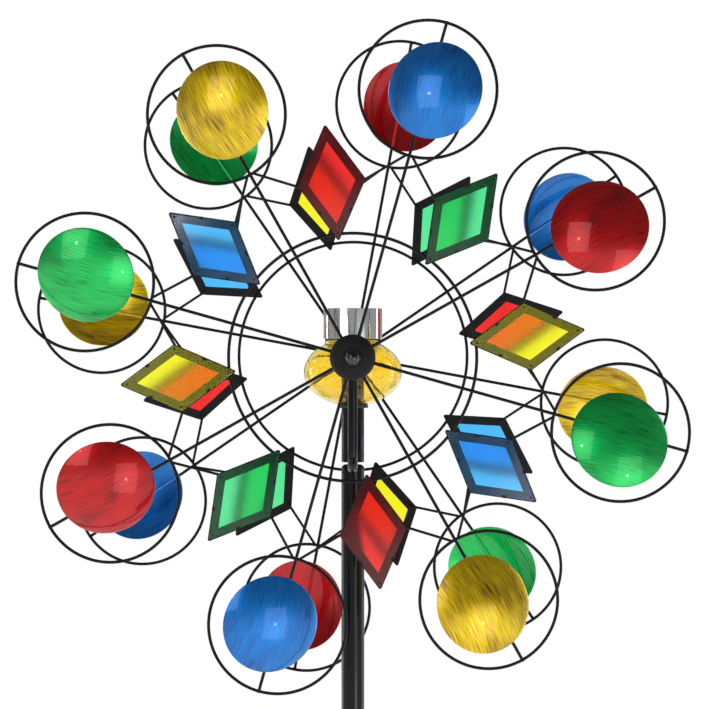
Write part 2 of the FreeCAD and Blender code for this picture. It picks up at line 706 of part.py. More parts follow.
# ---- assembly ----------------------------------------------------------------------------------
def by_colour(solids, colours):
    """Solids grouped by colour, when the colours repeat in order."""
    groups = {colour: [] for colour in colours}
    for k, solid in enumerate(solids):
        groups[colours[k % len(colours)]].append(solid)
    return groups


def rotor_nodes(side):
    """Every node of one rotor, by name."""
    arms = arm_angles(side)
    panels = panel_angles(side)
    braces = around(brace(1), arms) + around(brace(-1), arms)
    frames = around(panel_frame(), panels)
    nodes = {
        "hub_tube": stand_up([hub_tube()], side, 0),
        "bearings": stand_up(bearing_pair(), side, 0),
        "dome_cap": stand_up([dome_cap()], side, 0),
        "spokes": stand_up(around(spoke(), arms), side),
        "inner_ring": stand_up([inner_ring()], side),
        "hoops": stand_up(around(hoop(), arms), side),
        "braces": stand_up(braces, side),
        "panel_frames": stand_up(frames, side),
    }
    for colour, solids in by_colour(around(acrylic(), panels), PANEL_COLOURS[side]).items():
        nodes["acrylic_" + colour] = stand_up(solids, side)
    for colour, solids in by_colour(around(cup(), arms), CUP_COLOURS[side]).items():
        nodes["cups_" + colour] = stand_up(solids, side)
    return {side + "_" + name: solids for name, solids in nodes.items()}


def axle_nodes():
    """The fixed pieces that both rotors turn on, by name."""
    washers = [ring_washer(SPACER_R, SPACER_SHEET, SPACER_Y), ring_washer(WASHER_R, WASHER_SHEET, WASHER_Y)]
    pieces = {
        "axles": [axle()],
        "axle_washers": washers,
        "acorn_nuts": [acorn_nut()],
        "yoke_bosses": [yoke_boss()],
    }
    return {name: stand_up(one, "front", 0) + stand_up(one, "rear", 0) for name, one in pieces.items()}


def stand_nodes():
    """The stake, the post and the yoke, by name."""
    nodes = {
        "stake_prongs": prongs(),
        "stake_plate": [stake_plate()],
        "stake_spigot": [stake_spigot()],
        "post_spigots": [post_spigot(z) for z in joint_heights()],
        "clamp_screws": [clamp_screw(z) for z in screw_heights()],
        "post_cap": [post_cap()],
        "yoke": [yoke()],
    }
    for k, name in enumerate(("lower_post", "middle_post", "upper_post")):
        nodes[name] = [post_section(k)]
    return nodes


def lamp_nodes():
    """The globe and the solar module, by name."""
    return {
        "lamp_stem": [lamp_stem()],
        "glass_globe": [glass_globe()],
        "globe_grommet": [globe_grommet()],
        "neck_gasket": [neck_gasket()],
        "solar_sleeve": [solar_sleeve()],
        "module_case": [module_case()],
        "cell_window": [cell_window()],
        "solar_cell": [solar_cell()],
        "circuit_board": [circuit_board()],
        "battery": [battery()],
        "battery_clips": battery_clips(),
        "lamp_led": [lamp_led()],
        "switch_body": [switch_body()],
        "switch_button": [switch_button()],
    }


def build():
    """Every node of the spinner, by name."""
    nodes = {}
    nodes.update(stand_nodes())
    nodes.update(lamp_nodes())
    nodes.update(axle_nodes())
    for side in ("front", "rear"):
        nodes.update(rotor_nodes(side))
    return nodes


def write_parts(nodes):
    """Writes one STEP file per node, a group of solids as one compound."""
    os.makedirs("parts", exist_ok=True)
    for name, solids in nodes.items():
        singles = [solid for shape in solids for solid in shape.Solids]
        shape = singles[0] if len(singles) == 1 else Part.makeCompound(singles)
        shape.exportStep("parts/" + name + ".step")
    print(len(nodes), "nodes")


write_parts(build())
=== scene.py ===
"""Looks of a garden wind spinner: two counter-turning wire rotors, a solar globe and a forked post.

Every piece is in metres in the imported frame: +Z up, the front rotor faces -Y. A rotor's pieces are
made on a bench, lying in the XY plane with +Z as the outward side, and are then stood up on the
front or rear axle.
"""

import logging
import math
from dataclasses import dataclass, field
from enum import Enum
from typing import Any, Iterable, Optional, Sequence

import bmesh
import bpy
from mathutils import Matrix, Vector


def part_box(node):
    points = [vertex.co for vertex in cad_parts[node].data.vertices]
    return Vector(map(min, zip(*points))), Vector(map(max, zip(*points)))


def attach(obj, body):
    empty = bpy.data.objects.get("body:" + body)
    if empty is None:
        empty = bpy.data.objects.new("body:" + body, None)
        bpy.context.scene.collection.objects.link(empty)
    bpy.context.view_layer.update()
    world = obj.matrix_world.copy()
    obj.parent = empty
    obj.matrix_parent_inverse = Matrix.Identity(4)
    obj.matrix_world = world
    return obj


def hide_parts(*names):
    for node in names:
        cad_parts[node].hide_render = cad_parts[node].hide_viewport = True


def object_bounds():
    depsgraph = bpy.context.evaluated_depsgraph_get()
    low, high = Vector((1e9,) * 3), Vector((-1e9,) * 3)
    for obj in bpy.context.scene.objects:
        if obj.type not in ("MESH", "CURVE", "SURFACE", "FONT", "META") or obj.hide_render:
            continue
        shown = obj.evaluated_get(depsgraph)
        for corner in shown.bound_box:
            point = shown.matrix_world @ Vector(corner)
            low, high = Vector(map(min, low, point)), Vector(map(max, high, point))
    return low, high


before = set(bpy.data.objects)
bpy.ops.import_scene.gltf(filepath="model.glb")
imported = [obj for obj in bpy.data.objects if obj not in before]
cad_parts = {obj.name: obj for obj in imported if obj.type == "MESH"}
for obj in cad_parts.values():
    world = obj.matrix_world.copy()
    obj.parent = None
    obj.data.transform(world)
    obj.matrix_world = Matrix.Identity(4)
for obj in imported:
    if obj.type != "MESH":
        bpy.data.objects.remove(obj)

Point = tuple[float, float]
MM = 0.001
SHARP_ANGLE = math.radians(32)
BEVEL_ANGLE = math.radians(40)
FLAT_ANGLE = math.radians(0.5)
MERGE_DISTANCE = 1e-6
POLE_RADIUS = 1e-7
CAD_LOW, CAD_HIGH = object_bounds()
log = logging.getLogger("wind_spinner")


class Side(Enum):
    """Which rotor a piece belongs to."""

    FRONT = "front"
    REAR = "rear"

    @property
    def body(self) -> str:
        """The CAD body that this side's pieces ride on."""
        return f"{self.value}_rotor"

    @property
    def outward(self) -> float:
        """Sign of the side's outward direction along Y."""
        return -1.0 if self is Side.FRONT else 1.0


class Hue(Enum):
    """The four colours of cups and acrylics."""

    RED = "red"
    GREEN = "green"
    BLUE = "blue"
    YELLOW = "yellow"


def linear(hex_colour: str) -> tuple[float, float, float, float]:
    """Turns an sRGB hex colour into linear RGBA.

    Args:
        hex_colour: six hex digits, such as "1a73e8".

    Returns:
        Linear red, green, blue and an alpha of one.
    """
    channels = [int(hex_colour[k : k + 2], 16) / 255 for k in (0, 2, 4)]
    return (*(c / 12.92 if c <= 0.04045 else ((c + 0.055) / 1.055) ** 2.4 for c in channels), 1.0)


def add_node(
    tree: bpy.types.NodeTree,
    kind: str,
    values: Optional[dict] = None,
    links: Optional[dict] = None,
    **settings: Any,
) -> bpy.types.Node:
    """Adds a node with its settings, input values and incoming links.

    Args:
        tree: the node tree to add to.
        kind: the node's bl_idname.
        values: input name or number to default value.
        links: input name or number to the output socket that feeds it.
        **settings: attributes of the node itself.

    Returns:
        The new node.
    """
    node = tree.nodes.new(kind)
    for name, value in settings.items():
        setattr(node, name, value)
    for key, value in (values or {}).items():
        node.inputs[key].default_value = value
    for key, socket in (links or {}).items():
        tree.links.new(socket, node.inputs[key])
    return node


def colour_ramp(
    tree: bpy.types.NodeTree, factor: bpy.types.NodeSocket, stops: Sequence[tuple[float, tuple]]
) -> bpy.types.NodeSocket:
    """Adds a colour ramp with the given stops.

    Args:
        tree: the node tree to add to.
        factor: the socket that drives the ramp.
        stops: position and linear colour of each stop, in order.

    Returns:
        The ramp's colour output.
    """
    node = add_node(tree, "ShaderNodeValToRGB", links={"Fac": factor})
    elements = node.color_ramp.elements
    for k, (position, colour) in enumerate(stops):
        stop = elements[k] if k < 2 else elements.new(position)
        stop.position = position
        stop.color = colour
    return node.outputs["Color"]


def grey(value: float) -> tuple[float, float, float, float]:
    """A neutral linear colour of the given brightness."""
    return (value, value, value, 1.0)


# ---- finishes ----------------------------------------------------------------------------------
@dataclass(frozen=True)
class Finish:
    """A surface finish that makes its own material.

    Attributes:
        name: what a maker calls the finish.
    """

    name: str

    def material(self) -> bpy.types.Material:
        """Makes the finish's material the first time it is asked for.

        Returns:
            The material.
        """
        made = bpy.data.materials.get(self.name)
        if made is None:
            made = bpy.data.materials.new(self.name)
            made.use_nodes = True
            self.dress(made.node_tree, made.node_tree.nodes["Principled BSDF"])
        return made

    def dress(self, tree: bpy.types.NodeTree, shader: bpy.types.Node) -> None:
        """Sets the shader and adds the pattern nodes.

        Args:
            tree: the material's node tree.
            shader: its Principled BSDF.
        """
        raise NotImplementedError

    def noise(
        self,
        tree: bpy.types.NodeTree,
        size_mm: float,
        stretch: tuple[float, float, float] = (1.0, 1.0, 1.0),
        detail: float = 3.0,
        coordinate: str = "Object",
    ) -> bpy.types.NodeSocket:
        """Adds noise whose features are about size_mm across.

        Args:
            tree: the material's node tree.
            size_mm: feature size in millimetres.
            stretch: how many times longer features are along each axis.
            detail: octaves of the noise.
            coordinate: output of Texture Coordinate to use.

        Returns:
            The noise value.
        """
        place = add_node(tree, "ShaderNodeTexCoord")
        scale = tuple(1.0 / (size_mm * MM * s) for s in stretch)
        mapping = add_node(
            tree, "ShaderNodeMapping", {"Scale": scale}, {"Vector": place.outputs[coordinate]}
        )
        node = add_node(
            tree,
            "ShaderNodeTexNoise",
            {"Scale": 1.0, "Detail": detail},
            {"Vector": mapping.outputs["Vector"]},
        )
        return node.outputs["Fac"]

    def bump(
        self,
        tree: bpy.types.NodeTree,
        shader: bpy.types.Node,
        height: bpy.types.NodeSocket,
        depth_mm: float,
        target: str = "Normal",
    ) -> None:
        """Adds a bump to one of the shader's normals.

        Args:
            tree: the material's node tree.
            shader: its Principled BSDF.
            height: the pattern that gives the height, from 0 to 1.
            depth_mm: height of the pattern's top in millimetres.
            target: name of the normal input.
        """
        node = add_node(
            tree,
            "ShaderNodeBump",
            {"Strength": 1.0, "Distance": depth_mm * MM},
            {"Height": height},
        )
        tree.links.new(node.outputs["Normal"], shader.inputs[target])

    def vary_roughness(
        self,
        tree: bpy.types.NodeTree,
        shader: bpy.types.Node,
        pattern: bpy.types.NodeSocket,
        low: float,
        high: float,
    ) -> None:
        """Drives roughness with a pattern.

        Args:
            tree: the material's node tree.
            shader: its Principled BSDF.
            pattern: a value from 0 to 1.
            low: roughness where the pattern is 0.
            high: roughness where the pattern is 1.
        """
        spread = add_node(
            tree, "ShaderNodeMapRange", {"To Min": low, "To Max": high}, {"Value": pattern}
        )
        tree.links.new(spread.outputs["Result"], shader.inputs["Roughness"])


@dataclass(frozen=True)
class PowderCoat(Finish):
    """Baked black powder coat on steel: a fine orange-peel surface that softens every highlight.

    Attributes:
        colour: sRGB hex of the paint.
        roughness: middle roughness of the cured paint.
        peel_mm: spacing of the orange peel.
        peel_depth_mm: height of the orange peel.
        coat: weight of the glossy top layer.
        specular: strength of the paint's own reflection, where 0.5 is plain paint.
        tone_mm: size of the slightly lighter patches.
        lighten: how many times lighter those patches are.
        coat_roughness: roughness of the glossy top layer.
    """

    colour: str = "141416"
    roughness: float = 0.35
    peel_mm: float = 1.2
    peel_depth_mm: float = 0.012
    coat: float = 0.0
    specular: float = 0.2
    tone_mm: float = 18.0
    lighten: float = 1.45
    coat_roughness: float = 0.06

    def dress(self, tree: bpy.types.NodeTree, shader: bpy.types.Node) -> None:
        """Dark paint with a slightly uneven sheen.

        Args:
            tree: the material's node tree.
            shader: its Principled BSDF.
        """
        tone = self.noise(tree, self.tone_mm, detail=4.0)
        paint = linear(self.colour)
        lighter = tuple(self.lighten * c for c in paint[:3]) + (1.0,)
        shader.inputs["IOR"].default_value = 1.5
        shader.inputs["Specular IOR Level"].default_value = self.specular
        shader.inputs["Coat Weight"].default_value = self.coat
        shader.inputs["Coat Roughness"].default_value = self.coat_roughness
        tree.links.new(
            colour_ramp(tree, tone, ((0.3, paint), (0.8, lighter))), shader.inputs["Base Color"]
        )
        self.vary_roughness(tree, shader, tone, self.roughness * 0.8, self.roughness * 1.25)
        self.bump(tree, shader, self.noise(tree, self.peel_mm), self.peel_depth_mm)


@dataclass(frozen=True)
class CandyLacquer(Finish):
    """Transparent coloured lacquer over steel brushed with a dark glaze, under a hard clear coat.

    The bare steel under the tint reflects the studio in the lacquer's colour, the glaze leaves dark
    strokes along the spoke, and the clear coat adds sharp white reflections.

    Attributes:
        tint: sRGB hex of the lacquer where the steel shines through.
        bright: sRGB hex where the glaze was wiped thin.
        glaze: sRGB hex of the dark strokes.
        cover: how much of the surface the dark strokes take, from 0 to 1.
        stroke_mm: width of a stroke.
        stroke_length: how many times longer than wide a stroke is.
        cloud_mm: size of the patches where strokes gather.
        cloud_share: how strongly they gather.
        reach: how far below and above the middle of the pattern glaze and bright lacquer set in.
        tint_step: how far below the middle the plain tint lies.
        cover_shift: how far a full cover moves the dark colours up the pattern.
    """

    tint: str = "ffffff"
    bright: str = "ffffff"
    glaze: str = "000000"
    cover: float = 0.5
    stroke_mm: float = 0.5
    stroke_length: float = 40.0
    cloud_mm: float = 22.0
    cloud_share: float = 0.45
    reach: float = 0.2
    tint_step: float = 0.03
    cover_shift: float = 0.06

    def dress(self, tree: bpy.types.NodeTree, shader: bpy.types.Node) -> None:
        """Strokes from stretched noise, gathered in clouds, over a tinted metal.

        Args:
            tree: the material's node tree.
            shader: its Principled BSDF.
        """
        strokes = self.noise(
            tree, self.stroke_mm, (self.stroke_length, 1.0, 1.0), detail=6.0, coordinate="UV"
        )
        clouds = self.noise(tree, self.cloud_mm, (1.8, 1.0, 1.0), detail=2.0, coordinate="UV")
        wiped = add_node(
            tree,
            "ShaderNodeMath",
            {1: self.cloud_share},
            {0: clouds, 2: strokes},
            operation="MULTIPLY_ADD",
        )
        level = 0.5 * (1 + self.cloud_share)
        shift = self.cover_shift * self.cover
        ramp = colour_ramp(
            tree,
            wiped.outputs[0],
            (
                (level - self.reach + shift, linear(self.glaze)),
                (level - self.tint_step + shift, linear(self.tint)),
                (level + self.reach, linear(self.bright)),
            ),
        )
        tree.links.new(ramp, shader.inputs["Base Color"])
        shader.inputs["Metallic"].default_value = 0.85
        shader.inputs["Coat Weight"].default_value = 1.0
        shader.inputs["Coat Roughness"].default_value = 0.03
        shader.inputs["Coat IOR"].default_value = 1.4
        self.vary_roughness(tree, shader, strokes, 0.26, 0.5)
        self.bump(tree, shader, strokes, 0.004)


@dataclass(frozen=True)
class ClearSheet(Finish):
    """Laser-cut cast acrylic, dyed right through, whose frosted faces tint what is behind them.

    Attributes:
        dye: sRGB hex of white light that has crossed the sheet.
        scatter: share of the light that the dye scatters, so that it glows over the dark frame.
        frost: roughness of the faces, which blurs what lies well behind the sheet.
        haze_mm: size of the faint ripple left by casting.
    """

    dye: str = "ffffff"
    scatter: float = 0.06
    frost: float = 0.18
    haze_mm: float = 30.0

    def dress(self, tree: bpy.types.NodeTree, shader: bpy.types.Node) -> None:
        """Clear dyed plastic with a faint casting ripple.

        Args:
            tree: the material's node tree.
            shader: its Principled BSDF.
        """
        haze = self.noise(tree, self.haze_mm)
        base = linear(self.dye)
        pale = tuple(min(1.0, 1.04 * c) for c in base[:3]) + (1.0,)
        tree.links.new(
            colour_ramp(tree, haze, ((0.35, base), (0.75, pale))), shader.inputs["Base Color"]
        )
        shader.inputs["Transmission Weight"].default_value = 1.0 - self.scatter
        shader.inputs["IOR"].default_value = 1.49
        self.vary_roughness(tree, shader, haze, self.frost, self.frost + 0.03)


@dataclass(frozen=True)
class CrackleGlass(Finish):
    """Blown amber glass, quenched so that its wall crazes: clear and bright, with a rippled skin.

    Attributes:
        dye: sRGB hex of the glass where it is thin.
        deep: sRGB hex of the glass where it is thick.
        cell_mm: size of the facets between cracks.
        ripple_mm: height of the skin's ripple.
        cloud_mm: size of the thick and thin patches.
        refraction: index of refraction, kept low because the wall is thin.
    """

    dye: str = "fff08c"
    deep: str = "ffe26a"
    cell_mm: float = 16.0
    ripple_mm: float = 0.12
    cloud_mm: float = 30.0
    refraction: float = 1.36

    def dress(self, tree: bpy.types.NodeTree, shader: bpy.types.Node) -> None:
        """Amber glass with facets that follow a cell pattern.

        Args:
            tree: the material's node tree.
            shader: its Principled BSDF.
        """
        place = add_node(tree, "ShaderNodeTexCoord")
        cells = add_node(
            tree,
            "ShaderNodeTexVoronoi",
            {"Scale": 1.0 / (self.cell_mm * MM)},
            {"Vector": place.outputs["Object"]},
            feature="DISTANCE_TO_EDGE",
        )
        clouds = self.noise(tree, self.cloud_mm)
        tree.links.new(
            colour_ramp(tree, clouds, ((0.3, linear(self.deep)), (0.65, linear(self.dye)))),
            shader.inputs["Base Color"],
        )
        shader.inputs["Transmission Weight"].default_value = 1.0
        shader.inputs["IOR"].default_value = self.refraction
        shader.inputs["Roughness"].default_value = 0.02
        self.bump(tree, shader, cells.outputs["Distance"], self.ripple_mm)


@dataclass(frozen=True)
class BareMetal(Finish):
    """Uncoated metal: polished, plated or sintered, told apart by colour, roughness and grain.

    Attributes:
        colour: sRGB hex of the metal's reflection.
        roughness: middle roughness.
        grain_mm: spacing of its grain.
        stretch: how many times longer the grain is along each axis.
        grain_depth_mm: depth of the grain.
    """

    colour: str = "c8c8c8"
    roughness: float = 0.3
    grain_mm: float = 0.8
    stretch: tuple[float, float, float] = (1.0, 1.0, 1.0)
    grain_depth_mm: float = 0.004

    def dress(self, tree: bpy.types.NodeTree, shader: bpy.types.Node) -> None:
        """A metal whose colour and sheen follow its grain.

        Args:
            tree: the material's node tree.
            shader: its Principled BSDF.
        """
        grain = self.noise(tree, self.grain_mm, self.stretch, detail=4.0)
        metal = linear(self.colour)
        dull = tuple(0.8 * c for c in metal[:3]) + (1.0,)
        tree.links.new(
            colour_ramp(tree, grain, ((0.3, dull), (0.7, metal))), shader.inputs["Base Color"]
        )
        shader.inputs["Metallic"].default_value = 1.0
        self.vary_roughness(tree, shader, grain, self.roughness * 0.7, self.roughness * 1.3)
        self.bump(tree, shader, grain, self.grain_depth_mm)


@dataclass(frozen=True)
class Moulded(Finish):
    """Moulded plastic or rubber: an even colour with a fine spark-eroded texture from the tool.

    Attributes:
        colour: sRGB hex.
        roughness: middle roughness.
        texture_mm: spacing of the tool texture.
        clear: transmission weight, for epoxy and resin.
    """

    colour: str = "dcdcd6"
    roughness: float = 0.5
    texture_mm: float = 0.5
    clear: float = 0.0

    def dress(self, tree: bpy.types.NodeTree, shader: bpy.types.Node) -> None:
        """An even colour with a fine texture.

        Args:
            tree: the material's node tree.
            shader: its Principled BSDF.
        """
        texture = self.noise(tree, self.texture_mm)
        tone = self.noise(tree, 12.0)
        base = linear(self.colour)
        shade = tuple(0.88 * c for c in base[:3]) + (1.0,)
        tree.links.new(
            colour_ramp(tree, tone, ((0.3, shade), (0.7, base))), shader.inputs["Base Color"]
        )
        shader.inputs["Transmission Weight"].default_value = self.clear
        shader.inputs["IOR"].default_value = 1.5
        self.vary_roughness(tree, shader, tone, self.roughness * 0.85, self.roughness * 1.15)
        self.bump(tree, shader, texture, 0.01)


@dataclass(frozen=True)
class SiliconCell(Finish):
    """Polycrystalline silicon with printed silver fingers: dark blue flakes crossed by thin lines.

    Attributes:
        pitch_mm: distance between fingers.
        line_mm: width of a finger.
        flake_mm: size of a crystal.
        dark: sRGB hex of the darkest crystals.
        light: sRGB hex of the lightest crystals.
        silver: sRGB hex of the fingers.
    """

    pitch_mm: float = 2.2
    line_mm: float = 0.3
    flake_mm: float = 4.0
    dark: str = "0b1030"
    light: str = "1c2b66"
    silver: str = "b8bcc4"

    def dress(self, tree: bpy.types.NodeTree, shader: bpy.types.Node) -> None:
        """Flakes of blue from cells, with fingers at an even pitch along X.

        Args:
            tree: the material's node tree.
            shader: its Principled BSDF.
        """
        place = add_node(tree, "ShaderNodeTexCoord")
        flakes = add_node(
            tree,
            "ShaderNodeTexVoronoi",
            {"Scale": 1.0 / (self.flake_mm * MM)},
            {"Vector": place.outputs["Object"]},
        )
        blue = colour_ramp(
            tree,
            flakes.outputs["Distance"],
            ((0.1, linear(self.dark)), (0.9, linear(self.light))),
        )
        apart = add_node(tree, "ShaderNodeSeparateXYZ", links={0: place.outputs["Object"]})
        turn = add_node(
            tree,
            "ShaderNodeMath",
            {1: self.pitch_mm * MM},
            {0: apart.outputs["X"]},
            operation="FLOORED_MODULO",
        )
        finger = add_node(
            tree,
            "ShaderNodeMath",
            {1: self.line_mm * MM},
            {0: turn.outputs[0]},
            operation="LESS_THAN",
        )
        mix = add_node(
            tree,
            "ShaderNodeMix",
            {7: linear(self.silver)},
            {"Factor": finger.outputs[0], 6: blue},
            data_type="RGBA",
        )
        tree.links.new(mix.outputs[2], shader.inputs["Base Color"])
        shader.inputs["Roughness"].default_value = 0.25
        shader.inputs["Coat Weight"].default_value = 0.6
        self.bump(tree, shader, finger.outputs[0], 0.02)


WIRE = PowderCoat("powder_coat_wire", "0a0a0b", 0.42)
POST_GLOSS = PowderCoat("gloss_powder_coat", "050506", 0.08, 6.0, 0.003, 0.1, 0.22)
FRAME_COAT = PowderCoat("satin_powder_coat_sheet", "121214", 0.42)
DOME_COAT = PowderCoat("matte_powder_coat", "0e0e10", 0.6, 0.6)
NUT_GLOSS = PowderCoat("gloss_black_nut", "050506", 0.08, 3.0, 0.002, 0.5, 0.5)
STAKE_COAT = PowderCoat("satin_powder_coat_stake", "161618", 0.4)
BLACK_OXIDE = PowderCoat("black_oxide_screw", "0c0c0d", 0.35)
ZINC = BareMetal("zinc_plated_steel", "b9bcc0", 0.3)
BRONZE = BareMetal("sintered_bronze", "b08a4a", 0.45, 0.4)
# The sleeve's grain is 5 mm wide and 60 times longer up the tube, so it darkens the metal's colour
# in long vertical bands: partly polishing grain, partly painted reflection of the studio's vertical
# light bands.
STAINLESS = BareMetal("polished_stainless", "e2e3e4", 0.1, 5.0, (1.0, 1.0, 60.0), 0.02)
NICKEL = BareMetal("nickel_plated_spring", "cfcdc4", 0.25)
RUBBER = Moulded("black_rubber", "1a1a1b", 0.75)
CASE = Moulded("white_moulded_case", "dedcd4", 0.45)
BUTTON = Moulded("black_moulded_button", "1c1c1e", 0.4)
BOARD = Moulded("green_solder_mask", "1d5a33", 0.35)
WRAP = Moulded("green_shrink_sleeve", "2f7d46", 0.3)
EPOXY = Moulded("clear_led_epoxy", "fbf7e6", 0.08, clear=0.9)
RESIN = Moulded("clear_cast_resin", "f4f8fb", 0.04, clear=1.0)
GLASS = CrackleGlass("amber_crackle_glass")
CRAZE = ClearSheet("crazed_glass_lines", "fff6b0", 0.0)
SILICON = SiliconCell("polycrystalline_silicon")
LACQUERS = {
    Hue.RED: CandyLacquer("candy_lacquer_red", "b8060c", "cc0c14", "5c0306", 0.2),
    Hue.GREEN: CandyLacquer("candy_lacquer_green", "02b450", "04cc60", "027034", 0.25),
    Hue.BLUE: CandyLacquer("candy_lacquer_blue", "0470c4", "0c80d4", "064490", 0.25),
    Hue.YELLOW: CandyLacquer("candy_lacquer_yellow", "d8b204", "f4dc0a", "6a4c02", 0.6),
}
ACRYLICS = {
    Hue.RED: ClearSheet("red_cast_acrylic", "f52828", 0.025),
    Hue.GREEN: ClearSheet("green_cast_acrylic", "5aeb9b", 0.02),
    Hue.BLUE: ClearSheet("blue_cast_acrylic", "50beff", 0.025),
    Hue.YELLOW: ClearSheet("yellow_cast_acrylic", "fffa20", 0.06),
}


# ---- geometry node trees -----------------------------------------------------------------------
class Recipe:
    """A geometry node tree with named inputs, made once and used for many pieces."""

    def __init__(self, name: str, inputs: dict[str, tuple[str, Any]]) -> None:
        """Starts the tree.

        Args:
            name: the tree's name.
            inputs: label to socket type and default value.
        """
        self.tree = bpy.data.node_groups.new(name, "GeometryNodeTree")
        face = self.tree.interface
        face.new_socket("Geometry", in_out="INPUT", socket_type="NodeSocketGeometry")
        for label, (kind, value) in inputs.items():
            socket = face.new_socket(label, in_out="INPUT", socket_type=kind)
            if value is not None:
                socket.default_value = value
        face.new_socket("Material", in_out="INPUT", socket_type="NodeSocketMaterial")
        face.new_socket("Geometry", in_out="OUTPUT", socket_type="NodeSocketGeometry")
        self.given = self.tree.nodes.new("NodeGroupInput").outputs
        self.sink = self.tree.nodes.new("NodeGroupOutput")

    def close(self, geometry: bpy.types.NodeSocket) -> None:
        """Ends the tree in Realize Instances and Set Material.

        Args:
            geometry: the socket with the finished geometry.
        """
        real = add_node(self.tree, "GeometryNodeRealizeInstances", links={"Geometry": geometry})
        dressed = add_node(
            self.tree,
            "GeometryNodeSetMaterial",
            links={"Geometry": real.outputs["Geometry"], "Material": self.given["Material"]},
        )
        self.tree.links.new(dressed.outputs["Geometry"], self.sink.inputs[0])

    def cook(self, mesh: bpy.types.Mesh, finish: Finish, **values: Any) -> bpy.types.Mesh:
        """Runs a mesh through the tree.

        Args:
            mesh: the geometry that goes in.
            finish: the finish set on the result.
            **values: input labels, with _ for each space, to values.

        Returns:
            The result as a plain mesh.
        """
        carrier = bpy.data.objects.new("carrier", mesh)
        bpy.context.scene.collection.objects.link(carrier)
        modifier = carrier.modifiers.new(self.tree.name, "NODES")
        modifier.node_group = self.tree
        wanted = {label.replace("_", " "): value for label, value in values.items()}
        wanted["Material"] = finish.material()
        for item in self.tree.interface.items_tree:
            if item.in_out == "INPUT" and item.name in wanted:
                modifier[item.identifier] = wanted.pop(item.name)
        if wanted:
            raise KeyError(f"{self.tree.name} has no input named {sorted(wanted)}")
        graph = bpy.context.evaluated_depsgraph_get()
        cooked = bpy.data.meshes.new_from_object(
            carrier.evaluated_get(graph), preserve_all_data_layers=True, depsgraph=graph
        )
        bpy.data.objects.remove(carrier)
        return cooked


def wire_recipe() -> Recipe:
    """Makes a tree that draws a round wire along the edges it is given.

    Returns:
        The recipe.
    """
    recipe = Recipe(
        "wire_along_path", {"Wire Radius": ("NodeSocketFloat", MM), "Sides": ("NodeSocketInt", 16)}
    )
    tree = recipe.tree
    path = add_node(tree, "GeometryNodeMeshToCurve", links={"Mesh": recipe.given["Geometry"]})
    section = add_node(
        tree,
        "GeometryNodeCurvePrimitiveCircle",
        links={"Resolution": recipe.given["Sides"], "Radius": recipe.given["Wire Radius"]},
    )
    tube = add_node(
        tree,
        "GeometryNodeCurveToMesh",
        {"Fill Caps": True},
        {"Curve": path.outputs["Curve"], "Profile Curve": section.outputs["Curve"]},
    )
    recipe.close(tube.outputs["Mesh"])
    return recipe


def round_recipe() -> Recipe:
    """Makes a tree that repeats what it is given round the bench's Z axis.

    Returns:
        The recipe.
    """
    recipe = Recipe(
        "repeat_round_axis",
        {
            "Copies": ("NodeSocketInt", 8),
            "First Angle": ("NodeSocketFloat", 0.0),
            "Step Angle": ("NodeSocketFloat", math.pi / 4),
        },
    )
    tree = recipe.tree
    points = add_node(tree, "GeometryNodePoints", links={"Count": recipe.given["Copies"]})
    index = add_node(tree, "GeometryNodeInputIndex")
    angle = add_node(
        tree,
        "ShaderNodeMath",
        links={
            0: index.outputs["Index"],
            1: recipe.given["Step Angle"],
            2: recipe.given["First Angle"],
        },
        operation="MULTIPLY_ADD",
    )
    euler = add_node(tree, "ShaderNodeCombineXYZ", links={"Z": angle.outputs[0]})
    turn = add_node(tree, "FunctionNodeEulerToRotation", links={0: euler.outputs[0]})
    copies = add_node(
        tree,
        "GeometryNodeInstanceOnPoints",
        links={
            "Points": points.outputs[0],
            "Instance": recipe.given["Geometry"],
            "Rotation": turn.outputs[0],
        },
    )
    recipe.close(copies.outputs["Instances"])
    return recipe


